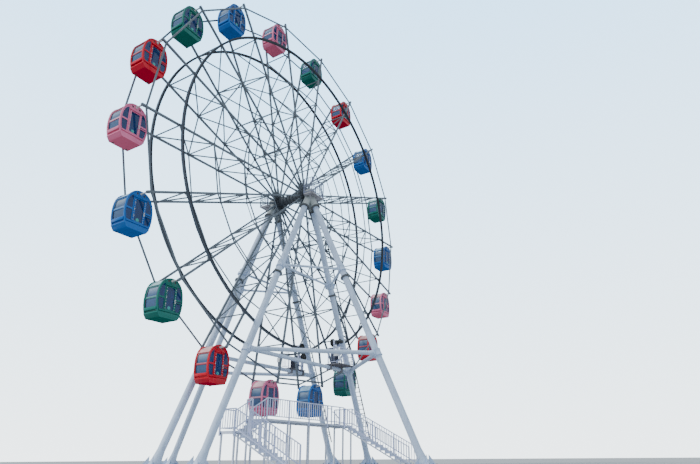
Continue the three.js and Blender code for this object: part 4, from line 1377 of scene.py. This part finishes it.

# Masks by which way a face turns: they drive the painted sky sheen on faces turned up and sideways, and the
# painted shade on faces turned down.
facing = bpy.data.node_groups.new("facing", "ShaderNodeTree")
group_sockets(facing, "OUTPUT", "Float", "Up", "Under", "Side")
facing_out = facing.nodes.new("NodeGroupOutput")
normal_parts = facing.nodes.new("ShaderNodeSeparateXYZ")
surface = facing.nodes.new("ShaderNodeNewGeometry")
facing.links.new(surface.outputs["Normal"], normal_parts.inputs["Vector"])
sideways = calc(facing, "ABSOLUTE", normal_parts.outputs["X"], 0)
for socket_name, value, low, high in (
    ("Up", normal_parts.outputs["Z"], 0.08, 0.42),
    ("Under", normal_parts.outputs["Z"], -0.35, -0.85),
    ("Side", sideways, 0.5, 0.9),
):
    facing.links.new(spread(facing, value, low, high), facing_out.inputs[socket_name])


def sky_sheen_and_shade(material, top, under):
    """The finish with a painted sky sheen of `top` where it faces the sky and a painted shade of `under`
    below.
    """
    tree = material.node_tree
    inputs = tree.nodes["Principled BSDF"].inputs
    ways = group_node(tree, facing)
    lit = blended(tree, ways.outputs["Up"], inputs["Base Color"].links[0].from_socket, top)
    tree.links.new(blended(tree, ways.outputs["Under"], lit, under), inputs["Base Color"])
    polish = calc(tree, "SUBTRACT", 1.0, ways.outputs["Under"])
    for socket_name, share in (
        ("Specular IOR Level", 0.3), ("Coat Weight", inputs["Coat Weight"].default_value),
    ):
        tree.links.new(calc(tree, "MULTIPLY", polish, share), inputs[socket_name])
    return material


shell_paints, roof_paints = {}, {}
# Columns: the colour; skirt, the gelcoat; under, a painted shade for faces turned down, also used as the
# grime colour; band, the roof wrap's own colour at its sides; top, a painted sky sheen on roof faces turned
# up.
for colour, skirt, under, band, top in (
    ("green", (0.003, 0.185, 0.15), (0.003, 0.125, 0.10), (0.05, 0.24, 0.23), (0.38, 0.64, 0.68)),
    ("blue", (0.006, 0.15, 0.52), (0.004, 0.11, 0.38), (0.05, 0.21, 0.50), (0.34, 0.57, 0.80)),
    ("pink", (0.88, 0.22, 0.40), (0.64, 0.13, 0.22), (0.70, 0.34, 0.45), (0.93, 0.56, 0.62)),
    ("red", (0.72, 0.002, 0.02), (0.45, 0.003, 0.03), (0.50, 0.045, 0.08), (0.93, 0.50, 0.48)),
):
    shell_paints[colour] = sky_sheen_and_shade(painted(
        f"{colour}_gelcoat", skirt, under, gloss=0.16, coat=0.15, streaks=0.25, mottle=0.25, bump=0.05,
    ), skirt, under)
    roof_paints[colour] = sky_sheen_and_shade(painted(
        f"{colour}_roof_shell", band, under, gloss=0.1, coat=0.8, streaks=0.15, mottle=0.2, bump=0.03,
    ), top, under)
tinted, pane_tree, pane = new_material("tinted_pane_painted_reflection")
# Panes turned sideways are painted lighter, and panes turned up are painted pale and less clear: a painted
# sky reflection over the dark tint.
ways = group_node(pane_tree, facing)
tint_and_painted_reflection = blended(pane_tree, ways.outputs["Side"], (0.022, 0.07, 0.24), (0.095, 0.20, 0.40))
tint_and_painted_reflection = blended(pane_tree, ways.outputs["Up"], tint_and_painted_reflection, (0.55, 0.66, 0.74))
clear = calc(pane_tree, "MULTIPLY", calc(pane_tree, "SUBTRACT", 1.0, ways.outputs["Up"]), 0.5)
pane_tree.links.new(tint_and_painted_reflection, pane.inputs["Base Color"])
pane_tree.links.new(clear, pane.inputs["Transmission Weight"])
pane.inputs["Roughness"].default_value = 0.03
pane.inputs["IOR"].default_value = 1.5
cream_metal = painted(
    "pale_axle_paint", (0.70, 0.71, 0.70), (0.35, 0.33, 0.3), gloss=0.35, metallic=0.2,
)
dark_inside_and_hole_shade = painted(
    "dark_floor_mat_and_hole_shade", (0.04, 0.045, 0.05), (0.12, 0.11, 0.1), gloss=0.6, streaks=0.1, mottle=0.5,
)
teal_seat = painted(
    "teal_seat_plastic", (0.05, 0.42, 0.38), (0.03, 0.2, 0.2), gloss=0.3, coat=0.2, streaks=0.1,
)
for index, colour in enumerate(cabin_colours):
    body = f"cabin_{index + 1:02d}_{colour}"
    pivot = hub_centre + ray_at(phase + spoke_step * (7 - index))[0] * pivot_radius
    for model, part, material, slot in (
        (shell, "shell", shell_paints[colour], f"cabin_{colour}"),
        (roof, "roof", roof_paints[colour], "cabin_trim"),
        (glass, "glass", tinted, "cabin_glass"),
        (trim, "fittings", cream_metal, "bare_metal"),
        (dark_parts, "dark_parts", dark_inside_and_hole_shade, "black_trim"),
        (benches, "benches", teal_seat, "cabin_trim"),
    ):
        copy = copied(model, f"{body}_{part}", Matrix.Translation(pivot))
        fitted(copy, material, slot, body, *([body] if part == "shell" else []))
        # Low faces of the roof wrap that turn up take the shell paint, which keeps the painted sky sheen off
        # the sills.
        if part == "roof":
            copy.data.materials.append(shell_paints[colour])
            for face in copy.data.polygons:
                if face.normal.z > 0.7 and face.center.z < pivot.z - 0.33:
                    face.material_index = 1
for model in (shell, roof, glass, trim, dark_parts, benches):
    bpy.data.objects.remove(model)
